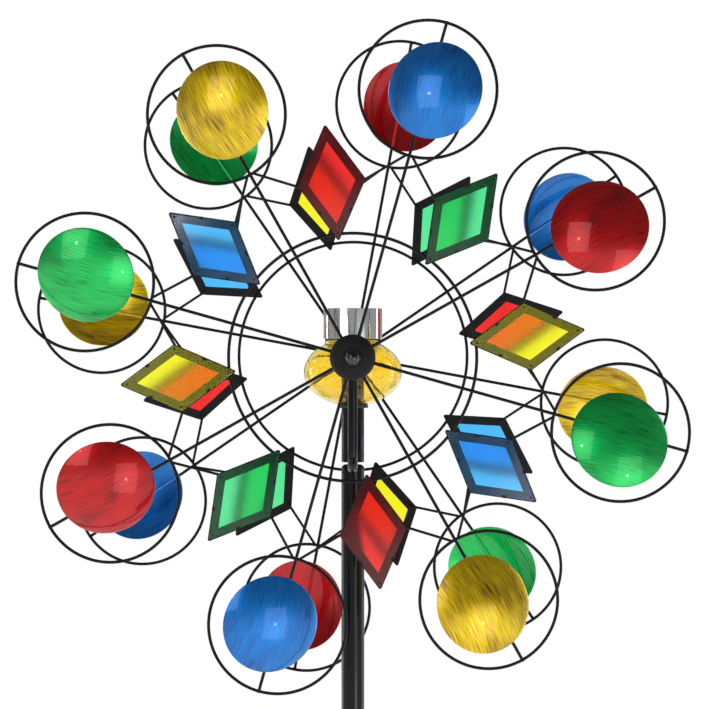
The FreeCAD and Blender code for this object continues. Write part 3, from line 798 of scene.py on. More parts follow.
def craze_recipe() -> Recipe:
    """Makes a tree that draws a net of fine crack lines over an oblate ball.

    Returns:
        The recipe.
    """
    recipe = Recipe(
        "craze_net",
        {
            "Half Width": ("NodeSocketFloat", 0.04),
            "Half Height": ("NodeSocketFloat", 0.03),
            "Line Radius": ("NodeSocketFloat", 0.0002),
            "Wander": ("NodeSocketFloat", 0.1),
            "Seed": ("NodeSocketInt", 3),
        },
    )
    tree = recipe.tree
    ball = add_node(tree, "GeometryNodeMeshIcoSphere", {"Radius": 1.0, "Subdivisions": 3})
    high = add_node(
        tree, "ShaderNodeCombineXYZ", links={axis: recipe.given["Wander"] for axis in "XYZ"}
    )
    low = add_node(
        tree, "ShaderNodeVectorMath", {"Scale": -1.0}, {0: high.outputs[0]}, operation="SCALE"
    )
    wander = add_node(
        tree,
        "FunctionNodeRandomValue",
        links={"Min": low.outputs[0], "Max": high.outputs[0], "Seed": recipe.given["Seed"]},
        data_type="FLOAT_VECTOR",
    )
    moved = add_node(
        tree,
        "GeometryNodeSetPosition",
        links={"Geometry": ball.outputs["Mesh"], "Offset": wander.outputs[0]},
    )
    net = add_node(tree, "GeometryNodeDualMesh", links={"Mesh": moved.outputs["Geometry"]})
    position = add_node(tree, "GeometryNodeInputPosition")
    unit = add_node(
        tree, "ShaderNodeVectorMath", links={0: position.outputs[0]}, operation="NORMALIZE"
    )
    size = add_node(
        tree,
        "ShaderNodeCombineXYZ",
        links={
            "X": recipe.given["Half Width"],
            "Y": recipe.given["Half Width"],
            "Z": recipe.given["Half Height"],
        },
    )
    place = add_node(
        tree,
        "ShaderNodeVectorMath",
        links={0: unit.outputs[0], 1: size.outputs[0]},
        operation="MULTIPLY",
    )
    shaped = add_node(
        tree,
        "GeometryNodeSetPosition",
        links={"Geometry": net.outputs[0], "Position": place.outputs[0]},
    )
    path = add_node(tree, "GeometryNodeMeshToCurve", links={"Mesh": shaped.outputs["Geometry"]})
    section = add_node(
        tree,
        "GeometryNodeCurvePrimitiveCircle",
        {"Resolution": 4},
        {"Radius": recipe.given["Line Radius"]},
    )
    lines = add_node(
        tree,
        "GeometryNodeCurveToMesh",
        {"Fill Caps": True},
        {"Curve": path.outputs["Curve"], "Profile Curve": section.outputs["Curve"]},
    )
    recipe.close(lines.outputs["Mesh"])
    return recipe


WIRE_ALONG = wire_recipe()
REPEAT_ROUND = round_recipe()
CRAZE_NET = craze_recipe()


# ---- mesh helpers ------------------------------------------------------------------------------
def path_mesh(points: Sequence[Sequence[float]], closed: bool = False) -> bpy.types.Mesh:
    """A mesh of edges through points in order.

    Args:
        points: the points.
        closed: whether the last point joins the first.

    Returns:
        The mesh, with edges and no faces.
    """
    mesh = bpy.data.meshes.new("path")
    edges = [(k, k + 1) for k in range(len(points) - 1)]
    if closed:
        edges.append((len(points) - 1, 0))
    mesh.from_pydata([tuple(p) for p in points], edges, [])
    return mesh


def circle_points(
    radius: float, count: int, centre: Sequence[float] = (0.0, 0.0, 0.0)
) -> list[tuple[float, float, float]]:
    """Points of a horizontal circle.

    Args:
        radius: the circle's radius.
        count: how many points.
        centre: the circle's centre.

    Returns:
        The points, starting on the +X side.
    """
    turn = 2 * math.pi / count
    x, y, z = centre
    return [
        (x + radius * math.cos(k * turn), y + radius * math.sin(k * turn), z)
        for k in range(count)
    ]


def arc(centre: Point, radius: float, start: float, end: float, steps: int) -> list[Point]:
    """Points of an arc in an outline.

    Args:
        centre: the arc's centre.
        radius: the arc's radius.
        start: angle of the first point, in degrees.
        end: angle of the last point, in degrees.
        steps: steps between them.

    Returns:
        The points, with both ends.
    """
    angles = [math.radians(start + (end - start) * k / steps) for k in range(steps + 1)]
    return [(centre[0] + radius * math.cos(a), centre[1] + radius * math.sin(a)) for a in angles]


def lathe(outline: Sequence[Point], segments: int = 96, closed: bool = True) -> bmesh.types.BMesh:
    """Turns an outline of (radius, height) points about Z.

    Args:
        outline: the points, in order; a radius of zero makes a pole.
        segments: steps round the axis.
        closed: whether the last point joins the first.

    Returns:
        The turned surface, with its faces outward.
    """
    shape = bmesh.new()
    rings = []
    for radius, height in outline:
        if radius < POLE_RADIUS:
            rings.append([shape.verts.new((0.0, 0.0, height))])
        else:
            circle = circle_points(radius, segments, (0, 0, height))
            rings.append([shape.verts.new(p) for p in circle])
    pairs = list(zip(rings, rings[1:]))
    if closed:
        pairs.append((rings[-1], rings[0]))
    for low, high in pairs:
        for k in range(segments):
            corners = [low[k % len(low)], low[(k + 1) % len(low)]]
            corners += [high[(k + 1) % len(high)], high[k % len(high)]]
            unique = list(dict.fromkeys(corners))
            if len(unique) > 2:
                shape.faces.new(unique)
    bmesh.ops.recalc_face_normals(shape, faces=shape.faces)
    return shape


def to_mesh(shape: bmesh.types.BMesh, name: str = "shape") -> bpy.types.Mesh:
    """Turns a bmesh into a mesh, smooth but for its sharp edges, and frees the bmesh.

    Args:
        shape: the bmesh.
        name: the mesh's name.

    Returns:
        The mesh.
    """
    mesh = bpy.data.meshes.new(name)
    shape.to_mesh(mesh)
    shape.free()
    smooth(mesh)
    return mesh


def smooth(mesh: bpy.types.Mesh) -> None:
    """Shades a mesh smooth, and keeps its sharp edges hard."""
    mesh.shade_smooth()
    mesh.set_sharp_from_angle(angle=SHARP_ANGLE)


def joined(meshes: Iterable[bpy.types.Mesh]) -> bpy.types.Mesh:
    """Puts several meshes together.

    Args:
        meshes: the meshes, all in one frame.

    Returns:
        One new mesh.
    """
    shape = bmesh.new()
    for mesh in meshes:
        shape.from_mesh(mesh)
    mesh = bpy.data.meshes.new("joined")
    shape.to_mesh(mesh)
    shape.free()
    return mesh


def place_piece(
    name: str,
    mesh: bpy.types.Mesh,
    body: str,
    finish: Finish,
    replaces: Sequence[str] = (),
) -> bpy.types.Object:
    """Makes an object of a mesh that is already in place, and ties it to the frame.

    Args:
        name: the piece's name.
        mesh: its mesh, in the row frame.
        body: the CAD body that it rides on.
        finish: its finish.
        replaces: the CAD nodes that it stands for.

    Returns:
        The new object.
    """
    mesh.name = name
    mesh.materials.clear()
    mesh.materials.append(finish.material())
    piece = bpy.data.objects.new(name, mesh)
    bpy.context.scene.collection.objects.link(piece)
    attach(piece, body)
    if replaces:
        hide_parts(*replaces)
    log.info("%s: %d faces on %s", name, len(mesh.polygons), body)
    return piece


def refined(
    node: str, body: str, finish: Finish, edge_mm: float = 0.0
) -> bpy.types.Object:
    """Stands a smooth copy of a CAD node in for it, with its edges eased.

    Args:
        node: the CAD node.
        body: the body that it is on.
        finish: its finish.
        edge_mm: width of the eased edges, or zero to leave them sharp.

    Returns:
        The new piece.
    """
    shape = bmesh.new()
    shape.from_mesh(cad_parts[node].data)
    bmesh.ops.remove_doubles(shape, verts=shape.verts, dist=MERGE_DISTANCE)
    bmesh.ops.dissolve_limit(
        shape, angle_limit=FLAT_ANGLE, verts=shape.verts, edges=shape.edges
    )
    mesh = to_mesh(shape, node)
    piece = place_piece(f"{node}_finished", mesh, body, finish, (node,))
    if edge_mm:
        bevel = piece.modifiers.new("eased_edges", "BEVEL")
        bevel.width = edge_mm * MM
        bevel.segments = 2
        bevel.limit_method = "ANGLE"
        bevel.angle_limit = BEVEL_ANGLE
        bevel.harden_normals = False
    return piece


def dress_node(node: str, finish: Finish) -> None:
    """Gives a CAD node that stays in view its finish."""
    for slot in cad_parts[node].material_slots:
        slot.material = finish.material()


# ---- rotors ------------------------------------------------------------------------------------
@dataclass
class Rotor:
    """One wire rotor with its cups, diamonds and hub.

    Attributes:
        side: front or rear.
        first_arm: angle of the first arm from +X towards +Z, in degrees.
        cup_hues: cup colours in order from the first arm.
        panel_hues: panel colours in order from the first panel.
        arms: how many arms the rotor has.
        hoop_centre: distance of a hoop's centre from the axle.
        hoop_radius: radius of a hoop's centre line.
        spoke_setback: how far a spoke ends inside the hoop wire's outer side.
        cup_rim: radius of a cup's rim.
        cup_sphere: radius of the ball whose cap a cup is.
        cup_sheet: thickness of a cup.
        cup_tilt: turn of a cup about its spoke, in degrees.
        cup_offset: distance of a cup's centre from its spoke.
        cup_lip: angle that the rounded lip takes up at the rim, in degrees.
        cup_steps: steps from a cup's pole to its rim.
        cup_segments: steps round a cup.
        weld: how deep welded pieces run into each other.
        bead_width: radius of a weld bead, in wire radii.
        bead_height: height of a weld bead, as a share of its radius.
        bead_setback: how far the outer bead sits inside the hoop's centre line.
        brace_spread: how far either side of the spoke a brace leaves the hoop.
        brace_lap: length of a brace that lies on the panel's corner.
        panel_centre: distance of a diamond's centre from the axle.
        panel_side: length of a diamond frame's side.
        panel_acute: the diamond's smaller angle, in degrees.
        acrylic_inset: how far the acrylic's edge lies inside the frame's.
        air_gap: gap between acrylic and frame.
        corner_radius: radius of the acrylic's corners.
        rivet_radius: radius of a rivet head.
        rivet_height: height of a rivet head, as a share of its radius.
        rivet_inset: distance of a rivet from the diamond's sharp corner.
        paint_skin: thickness of the lacquer on a painted stretch of spoke.
        axis_height: height of the axle.
        spoke_plane: distance of the spokes' centre lines from the object's middle.
        wire: radius of the wire.
        low_wire: height of hoops and ring over the spokes, on the bench.
        ring_radius: radius of the inner ring's centre line.
        brace_wire: radius of the brace wire.
        brace_plane: height of the braces over the spokes, on the bench.
        acrylic_low: height of the acrylic's back over the spokes, on the bench.
        acrylic_high: height of the acrylic's face over the spokes, on the bench.
    """

    side: Side
    first_arm: float
    cup_hues: tuple[Hue, Hue, Hue, Hue]
    panel_hues: tuple[Hue, Hue, Hue, Hue]
    arms: int = 8
    hoop_centre: float = 0.2437
    hoop_radius: float = 0.0604
    spoke_setback: float = 0.0006
    cup_rim: float = 0.043
    cup_sphere: float = 0.075
    cup_sheet: float = 0.0008
    cup_tilt: float = 19.0
    cup_offset: float = 0.0068
    cup_lip: float = 0.35
    cup_steps: int = 26
    cup_segments: int = 112
    weld: float = 0.00025
    bead_width: float = 1.35
    bead_height: float = 0.95
    bead_setback: float = 0.0004
    brace_spread: float = 0.0026
    brace_lap: float = 0.008
    panel_centre: float = 0.1538
    panel_side: float = 0.060
    panel_acute: float = 60.0
    acrylic_inset: float = 0.0008
    air_gap: float = 0.00004
    corner_radius: float = 0.0016
    rivet_radius: float = 0.0009
    rivet_height: float = 0.45
    rivet_inset: float = 0.0075
    paint_skin: float = 0.00006
    axis_height: float = field(init=False)
    spoke_plane: float = field(init=False)
    wire: float = field(init=False)
    low_wire: float = field(init=False)
    ring_radius: float = field(init=False)
    brace_wire: float = field(init=False)
    brace_plane: float = field(init=False)
    acrylic_low: float = field(init=False)
    acrylic_high: float = field(init=False)

    def __post_init__(self) -> None:
        """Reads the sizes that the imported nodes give."""
        low, high = self.node_box("inner_ring")
        self.axis_height = (low.z + high.z) / 2
        self.wire = (high.y - low.y) / 2
        self.ring_radius = (high.x - low.x) / 2 - self.wire
        ring_plane = abs(low.y + high.y) / 2
        low, high = self.node_box("spokes")
        self.spoke_plane = abs(low.y + high.y) / 2
        self.low_wire = ring_plane - self.spoke_plane
        low, high = self.node_box("braces")
        self.brace_wire = (high.y - low.y) / 2
        self.brace_plane = abs(low.y + high.y) / 2 - self.spoke_plane
        low, high = self.node_box(f"acrylic_{self.panel_hues[0].value}")
        near, far = sorted((abs(low.y), abs(high.y)))
        self.acrylic_low = near - self.spoke_plane
        self.acrylic_high = far - self.spoke_plane

    def node(self, name: str) -> str:
        """The full name of one of this rotor's CAD nodes."""
        return f"{self.side.value}_{name}"

    def node_box(self, name: str) -> tuple[Vector, Vector]:
        """Corners of one of this rotor's CAD nodes."""
        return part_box(self.node(name))

    @property
    def step(self) -> float:
        """Angle between arms, in radians."""
        return 2 * math.pi / self.arms

    @property
    def arm_angle(self) -> float:
        """Angle of the first arm, in radians."""
        return math.radians(self.first_arm)

    @property
    def panel_angle(self) -> float:
        """Angle of the first panel, in radians."""
        return self.arm_angle + self.step / 2

    @property
    def half_acute(self) -> float:
        """Half of the diamond's smaller angle, in radians."""
        return math.radians(self.panel_acute / 2)

    def stand_up(self, mesh: bpy.types.Mesh) -> bpy.types.Mesh:
        """Turns a bench mesh upright on this rotor's axle, in place.

        Args:
            mesh: the mesh on the bench.

        Returns:
            The same mesh, standing.
        """
        out = self.side.outward
        upright = Matrix(
            (
                (1, 0, 0, 0),
                (0, 0, out, out * self.spoke_plane),
                (0, 1, 0, self.axis_height),
                (0, 0, 0, 1),
            )
        )
        mesh.transform(upright)
        if upright.determinant() < 0:
            mesh.flip_normals()
        return mesh

    def round_piece(
        self,
        name: str,
        mesh: bpy.types.Mesh,
        finish: Finish,
        replaces: Sequence[str] = (),
        first: Optional[float] = None,
        copies: int = 8,
    ) -> bpy.types.Object:
        """Repeats a bench mesh round the axle and stands it up as one piece.

        Args:
            name: the piece's name, without its side.
            mesh: the mesh on the bench, for angle zero.
            finish: its finish.
            replaces: the CAD nodes that it stands for, without their side.
            first: angle of the first copy in radians, or None for the first arm's.
            copies: how many copies go evenly round the axle.

        Returns:
            The new piece.
        """
        start = self.arm_angle if first is None else first
        step = 2 * math.pi / copies
        rounded = REPEAT_ROUND.cook(
            mesh, finish, Copies=copies, First_Angle=start, Step_Angle=step
        )
        smooth(rounded)
        self.stand_up(rounded)
        nodes = [self.node(n) for n in replaces]
        return place_piece(self.node(name), rounded, self.side.body, finish, nodes)

    def wire_mesh(
        self, points: Sequence[Sequence[float]], radius: float, closed: bool = False
    ) -> bpy.types.Mesh:
        """Draws a wire on the bench.

        Args:
            points: the wire's centre line.
            radius: the wire's radius.
            closed: whether its ends meet.

        Returns:
            The wire's mesh.
        """
        return WIRE_ALONG.cook(path_mesh(points, closed), WIRE, Wire_Radius=radius, Sides=16)

    def build_wires(self) -> None:
        """Spokes, hoops, ring and braces, drawn along their centre lines."""
        hub_low, hub_high = self.node_box("hub_tube")
        start = (hub_high.x - hub_low.x) / 2 - self.weld
        end = self.hoop_centre + self.hoop_radius + self.wire - self.spoke_setback
        spoke = self.wire_mesh([(start, 0, 0), (end, 0, 0)], self.wire)
        self.round_piece("wire_spokes", spoke, WIRE, ("spokes",))
        centre = (self.hoop_centre, 0.0, self.low_wire)
        hoop = self.wire_mesh(circle_points(self.hoop_radius, 96, centre), self.wire, True)
        self.round_piece("wire_hoops", hoop, WIRE, ("hoops",))
        ring_line = circle_points(self.ring_radius, 160, (0.0, 0.0, self.low_wire))
        ring = self.wire_mesh(ring_line, self.wire, True)
        self.round_piece("wire_ring", ring, WIRE, ("inner_ring",), 0.0, 1)
        braces = joined(self.brace(sign) for sign in (1, -1))
        self.round_piece("wire_braces", braces, WIRE, ("braces",))

    def brace(self, sign: int) -> bpy.types.Mesh:
        """One brace from the hoop at angle zero to the panel on one side.

        Args:
            sign: 1 for the panel ahead, -1 for the one behind.

        Returns:
            The brace on the bench.
        """
        reach = math.sqrt(self.hoop_radius**2 - self.brace_spread**2)
        start = Vector((self.hoop_centre - reach, sign * self.brace_spread, self.brace_plane))
        half_short = self.panel_side * math.sin(self.half_acute)
        corner = Vector((self.panel_centre, -sign * half_short, self.brace_plane))
        corner.rotate(Matrix.Rotation(sign * self.step / 2, 3, "Z"))
        along = (corner - start).normalized()
        start_in_weld = start + along * self.wire * 0.6
        return self.wire_mesh([start_in_weld, corner + along * self.brace_lap], self.brace_wire)

    def build_welds(self) -> None:
        """Weld beads where the spokes meet the ring and the hoops."""
        between = self.low_wire / 2
        places = [
            (self.ring_radius, 0.0, between),
            (self.hoop_centre - self.hoop_radius, 0.0, between),
            (self.hoop_centre + self.hoop_radius - self.bead_setback, 0.0, between),
        ]
        beads = joined(self.bead(place) for place in places)
        self.round_piece("weld_beads", beads, WIRE)

    def bead(self, place: Sequence[float]) -> bpy.types.Mesh:
        """One flattened weld bead.

        Args:
            place: its centre on the bench.

        Returns:
            The bead's mesh.
        """
        width = self.wire * self.bead_width
        ball = arc((0.0, 0.0), 1.0, -90, 90, 8)
        outline = [(max(0.0, r) * width, z * width * self.bead_height) for r, z in ball]
        shape = lathe(outline, 14, False)
        bmesh.ops.translate(shape, verts=shape.verts, vec=place)
        return to_mesh(shape)

    def cup_mesh(self) -> bpy.types.Mesh:
        """One cup on the bench at angle zero.

        Returns:
            The cup, with a UV map in metres along and across its spoke.
        """
        edge = self.cup_sheet / 2
        inner = self.cup_sphere - self.cup_sheet
        middle = self.cup_sphere - edge
        drop = -math.sqrt(self.cup_sphere**2 - self.cup_rim**2)
        opening = math.degrees(math.asin(self.cup_rim / self.cup_sphere)) - self.cup_lip
        outline = arc((0.0, drop), self.cup_sphere, 90, 90 - opening, self.cup_steps)
        rim = math.radians(90 - opening)
        centre = (middle * math.cos(rim), drop + middle * math.sin(rim))
        outline += arc(centre, edge, 90 - opening, -90 - opening, 6)[1:-1]
        outline += arc((0.0, drop), inner, 90 - opening, 90, self.cup_steps)
        outline[0] = (0.0, outline[0][1])
        outline[-1] = (0.0, outline[-1][1])
        shape = lathe(outline, self.cup_segments, False)
        layer = shape.loops.layers.uv.new("strokes")
        for face in shape.faces:
            for loop in face.loops:
                loop[layer].uv = (loop.vert.co.x, loop.vert.co.y)
        mesh = to_mesh(shape)
        mesh.transform(Matrix.Translation((0.0, -self.cup_offset, self.wire - self.weld)))
        mesh.transform(Matrix.Rotation(math.radians(-self.cup_tilt), 4, "X"))
        mesh.transform(Matrix.Translation((self.hoop_centre, 0.0, 0.0)))
        return mesh

    def build_cups(self) -> None:
        """Two cups of each colour, each with a painted stretch of its spoke."""
        half_chord = math.sqrt(self.cup_rim**2 - self.cup_offset**2)
        ends = [(self.hoop_centre - half_chord, 0, 0), (self.hoop_centre + half_chord, 0, 0)]
        for k, hue in enumerate(self.cup_hues):
            lacquer = LACQUERS[hue]
            node = f"cups_{hue.value}"
            first = self.arm_angle + k * self.step
            cup = self.cup_mesh()
            self.shift_strokes(cup, k)
            self.round_piece(f"cup_pair_{hue.value}", cup, lacquer, (node,), first, 2)
            painted = self.wire_mesh(ends, self.wire + self.paint_skin)
            self.round_piece(f"painted_spokes_{hue.value}", painted, lacquer, (), first, 2)

    def shift_strokes(self, mesh: bpy.types.Mesh, k: int) -> None:
        """Moves a cup's UV map so that no two colours share their strokes.

        Args:
            mesh: the cup.
            k: number of its colour on this rotor.
        """
        shift = 0.31 * (k + 1) + (0.17 if self.side is Side.REAR else 0.0)
        for loop in mesh.uv_layers["strokes"].data:
            loop.uv.x += shift
            loop.uv.y += shift / 2

    def diamond(self, inset: float, corner: float, steps: int = 5) -> list[Point]:
        """Outline of a diamond with rounded corners, about the panel's centre.

        Args:
            inset: how far the outline lies inside the frame's.
            corner: radius of the corners.
            steps: steps round each corner.

        Returns:
            The outline's points, anticlockwise.
        """
        side = self.panel_side - 2 * inset / math.sin(2 * self.half_acute)
        sharp = side * math.cos(self.half_acute) - corner / math.sin(self.half_acute)
        blunt = side * math.sin(self.half_acute) - corner / math.cos(self.half_acute)
        half_obtuse = 90 - self.panel_acute / 2
        corners = (
            (sharp, 0, 0, half_obtuse),
            (0, blunt, 90, self.panel_acute / 2),
            (-sharp, 0, 180, half_obtuse),
            (0, -blunt, 270, self.panel_acute / 2),
        )
        outline: list[Point] = []
        for x, y, middle, half in corners:
            outline += arc((self.panel_centre + x, y), corner, middle - half, middle + half, steps)
        return outline

    def acrylic_mesh(self, edge: float = 0.00025) -> bpy.types.Mesh:
        """One acrylic diamond on the bench at angle zero.

        Args:
            edge: width of its eased edges.

        Returns:
            The diamond's mesh.
        """
        shape = bmesh.new()
        levels = (
            (self.acrylic_inset + edge, self.acrylic_low + self.air_gap),
            (self.acrylic_inset, self.acrylic_low + self.air_gap + edge),
            (self.acrylic_inset, self.acrylic_high - edge),
            (self.acrylic_inset + edge, self.acrylic_high),
        )
        loops = [
            [shape.verts.new((x, y, z)) for x, y in self.diamond(inset, self.corner_radius)]
            for inset, z in levels
        ]
        for low, high in zip(loops, loops[1:]):
            count = len(low)
            for k in range(count):
                shape.faces.new((low[k], low[(k + 1) % count], high[(k + 1) % count], high[k]))
        shape.faces.new(list(reversed(loops[0])))
        shape.faces.new(loops[-1])
        bmesh.ops.recalc_face_normals(shape, faces=shape.faces)
        return to_mesh(shape)

    def build_panels(self) -> None:
        """Two acrylic diamonds of each colour, their rivets, and the sheet frames behind them."""
        for k, hue in enumerate(self.panel_hues):
            first = self.panel_angle + k * self.step
            self.round_piece(
                f"diamond_pair_{hue.value}",
                self.acrylic_mesh(),
                ACRYLICS[hue],
                (f"acrylic_{hue.value}",),
                first,
                2,
            )
        rivets = joined(self.rivet(x, y) for x, y in self.rivet_places())
        self.round_piece("rivets", rivets, FRAME_COAT, (), self.panel_angle)
        refined(self.node("panel_frames"), self.side.body, FRAME_COAT)

    def rivet_places(self) -> list[Point]:
        """Works out where the rivets of the diamond at angle zero go.

        Returns:
            A place near each corner, nearer to the blunt ones.
        """
        along = self.panel_side * math.cos(self.half_acute) - self.rivet_inset
        across = self.panel_side * math.sin(self.half_acute) - self.rivet_inset * 0.6
        steps = ((along, 0), (0, across), (-along, 0), (0, -across))
        return [(self.panel_centre + x, y) for x, y in steps]

    def rivet(self, x: float, y: float, root: float = 0.0001) -> bpy.types.Mesh:
        """One low, round rivet head on the acrylic's face.

        Args:
            x: its place along the bench.
            y: its place across the bench.
            root: how deep it runs into the acrylic.

        Returns:
            The head's mesh.
        """
        top = self.rivet_radius * self.rivet_height
        slope = (0.0, 0.4, 0.8, 1.2)
        outline = [(self.rivet_radius, -root)]
        outline += [(self.rivet_radius * math.cos(a), top * math.sin(a)) for a in slope]
        outline.append((0.0, top))
        shape = lathe(outline, 12, False)
        bmesh.ops.translate(shape, verts=shape.verts, vec=(x, y, self.acrylic_high))
        return to_mesh(shape)

    def build_hub(self) -> None:
        """Hub tube, bearings and domed cover."""
        body = self.side.body
        refined(self.node("hub_tube"), body, WIRE, 0.4)
        refined(self.node("bearings"), body, BRONZE, 0.2)
        refined(self.node("dome_cap"), body, DOME_COAT, 0.3)

    def build(self) -> None:
        """Makes the whole rotor."""
        self.build_wires()
        self.build_welds()
        self.build_cups()
        self.build_panels()
        self.build_hub()


# ---- lamp --------------------------------------------------------------------------------------
@dataclass
class Lamp:
    """The crackle-glass globe, its stem and the solar module.

    Attributes:
        wall: thickness of the glass.
        neck_wall: thickness of the neck.
        neck_radius: outer radius of the neck.
        hole_radius: radius of the hole that the stem passes.
        half_height: half the height of the globe's oval.
        segments: steps round the globe.
        craze_radius: radius of a crack line.
        craze_wander: how unevenly the cracks lie, where 1 is the globe's radius.
        craze_seed: picks one pattern of cracks.
        craze_clear: radius round the hole that stays free of cracks.
        half_width: half the width of the globe's oval.
        centre_height: height of the oval's centre.
        neck_top: height of the neck's rim.
    """

    wall: float = 0.0024
    neck_wall: float = 0.0024
    neck_radius: float = 0.0256
    hole_radius: float = 0.012
    half_height: float = 0.031
    segments: int = 128
    craze_radius: float = 0.00013
    craze_wander: float = 0.13
    craze_seed: int = 7
    craze_clear: float = 0.016
    half_width: float = field(init=False)
    centre_height: float = field(init=False)
    neck_top: float = field(init=False)

    def __post_init__(self) -> None:
        """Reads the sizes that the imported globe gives."""
        low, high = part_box("glass_globe")
        self.half_width = (high.x - low.x) / 2
        share = math.sqrt(1 - (self.hole_radius / self.half_width) ** 2)
        self.centre_height = low.z + self.half_height * share
        self.neck_top = high.z

    def globe_outline(self) -> list[Point]:
        """Works out the globe's closed outline.

        Returns:
            Its points, from the lower hole up the outside and down the inside.
        """
        outer = self.oval(0.0, self.neck_radius)
        inner = self.oval(self.wall, self.neck_radius - self.neck_wall)
        lip = self.neck_wall / 2
        neck = arc((self.neck_radius - lip, self.neck_top - lip), lip, 0, 180, 8)
        return outer + neck + list(reversed(inner))

    def oval(self, inset: float, neck: float, steps: int = 56) -> list[Point]:
        """Points up one oval wall, between the lower hole and the neck.

        Args:
            inset: how far the wall lies inside the globe's outer skin.
            neck: radius at which the wall meets the neck.
            steps: steps up the wall.

        Returns:
            The wall's points, from the hole upwards.
        """
        half_width = self.half_width - inset
        half_height = self.half_height - inset
        start = -math.acos(self.hole_radius / half_width)
        end = math.acos(neck / half_width)
        angles = [start + (end - start) * k / steps for k in range(steps + 1)]
        return [
            (half_width * math.cos(a), self.centre_height + half_height * math.sin(a))
            for a in angles
        ]

    def build_globe(self) -> None:
        """The blown glass wall."""
        wall = to_mesh(lathe(self.globe_outline(), self.segments))
        place_piece("glass_globe_blown", wall, "root", GLASS, ("glass_globe",))

    def build_craze(self) -> None:
        """Fine crack lines halfway through the wall, trimmed clear of neck and hole."""
        net = CRAZE_NET.cook(
            path_mesh([(0, 0, 0), (0, 0, 1)]),
            CRAZE,
            Half_Width=self.half_width - self.wall / 2,
            Half_Height=self.half_height - self.wall / 2,
            Line_Radius=self.craze_radius,
            Wander=self.craze_wander,
            Seed=self.craze_seed,
        )
        net.transform(Matrix.Translation((0, 0, self.centre_height)))
        shape = bmesh.new()
        shape.from_mesh(net)
        stray = [v for v in shape.verts if v.co.xy.length < self.neck_radius + self.wall]
        stray = [
            v
            for v in stray
            if v.co.z > self.centre_height or v.co.xy.length < self.craze_clear
        ]
        bmesh.ops.delete(shape, geom=stray, context="VERTS")
        place_piece("glass_craze_lines", to_mesh(shape), "root", CRAZE)

    def build_module(self) -> None:
        """The solar module's sleeve, case, window and inner pieces."""
        body = "solar_module"
        refined("solar_sleeve", body, STAINLESS, 0.2)
        refined("module_case", body, CASE)
        refined("cell_window", body, RESIN, 0.3)
        refined("lamp_led", body, EPOXY)
        refined("switch_button", "switch_button", BUTTON, 0.4)
        inner_finishes = {
            "solar_cell": SILICON,
            "circuit_board": BOARD,
            "battery": WRAP,
            "battery_clips": NICKEL,
            "switch_body": CASE,
        }
        for node, finish in inner_finishes.items():
            dress_node(node, finish)

    def build(self) -> None:
        """Makes the whole lamp."""
        refined("lamp_stem", "root", POST_GLOSS, 0.2)
        refined("globe_grommet", "root", RUBBER)
        refined("neck_gasket", "root", RUBBER)
        self.build_globe()
        self.build_craze()
        self.build_module()


# ---- post, yoke and stake ----------------------------------------------------------------------
@dataclass
class Stand:
    """The yoke with its axles, the post in three sections, and the ground stake.

    Attributes:
        bend_radius: radius of the yoke's two bends, at the rod's centre line.
        bend_steps: steps in each bend.
        rod_sides: sides of the rod's round section.
    """

    bend_radius: float = 0.018
    bend_steps: int = 14
    rod_sides: int = 48

    def yoke_path(self) -> list[tuple[float, float, float]]:
        """Works out the U's centre line.

        Returns:
            Its points, from the front arm's top to the rear arm's.
        """
        low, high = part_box("yoke")
        rod = (high.x - low.x) / 2
        arm = high.y - rod
        foot = low.z + rod
        run = arm - self.bend_radius
        bend = arc((run, foot + self.bend_radius), self.bend_radius, -90, 0, self.bend_steps)
        rear = [(0.0, y, z) for y, z in bend] + [(0.0, arm, high.z)]
        return [(x, -y, z) for x, y, z in reversed(rear)] + rear

    def build_yoke(self) -> None:
        """The bent rod, drawn along its centre line."""
        low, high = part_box("yoke")
        radius = (high.x - low.x) / 2
        rod = WIRE_ALONG.cook(
            path_mesh(self.yoke_path()), POST_GLOSS, Wire_Radius=radius, Sides=self.rod_sides
        )
        smooth(rod)
        place_piece("yoke_rod", rod, "root", POST_GLOSS, ("yoke",))

    def build(self) -> None:
        """Makes the whole stand."""
        self.build_yoke()
        copies = (
            ("yoke_bosses", POST_GLOSS, "post_black", 0.3),
            ("axles", ZINC, "axle_steel", 0.0),
            ("axle_washers", BLACK_OXIDE, "axle_steel", 0.2),
            ("acorn_nuts", NUT_GLOSS, "nut_black", 0.35),
            ("lower_post", POST_GLOSS, "post_black", 0.25),
            ("middle_post", POST_GLOSS, "post_black", 0.25),
            ("upper_post", POST_GLOSS, "post_black", 0.25),
            ("post_cap", POST_GLOSS, "post_black", 0.25),
            ("post_spigots", ZINC, "post_black", 0.0),
            ("clamp_screws", BLACK_OXIDE, "screw_steel", 0.3),
            ("stake_plate", STAKE_COAT, "stake_black", 0.5),
            ("stake_spigot", STAKE_COAT, "stake_black", 0.3),
            ("stake_prongs", STAKE_COAT, "stake_black", 0.0),
        )
        for node, finish, slot, edge_mm in copies:
            refined(node, "root", finish, edge_mm)


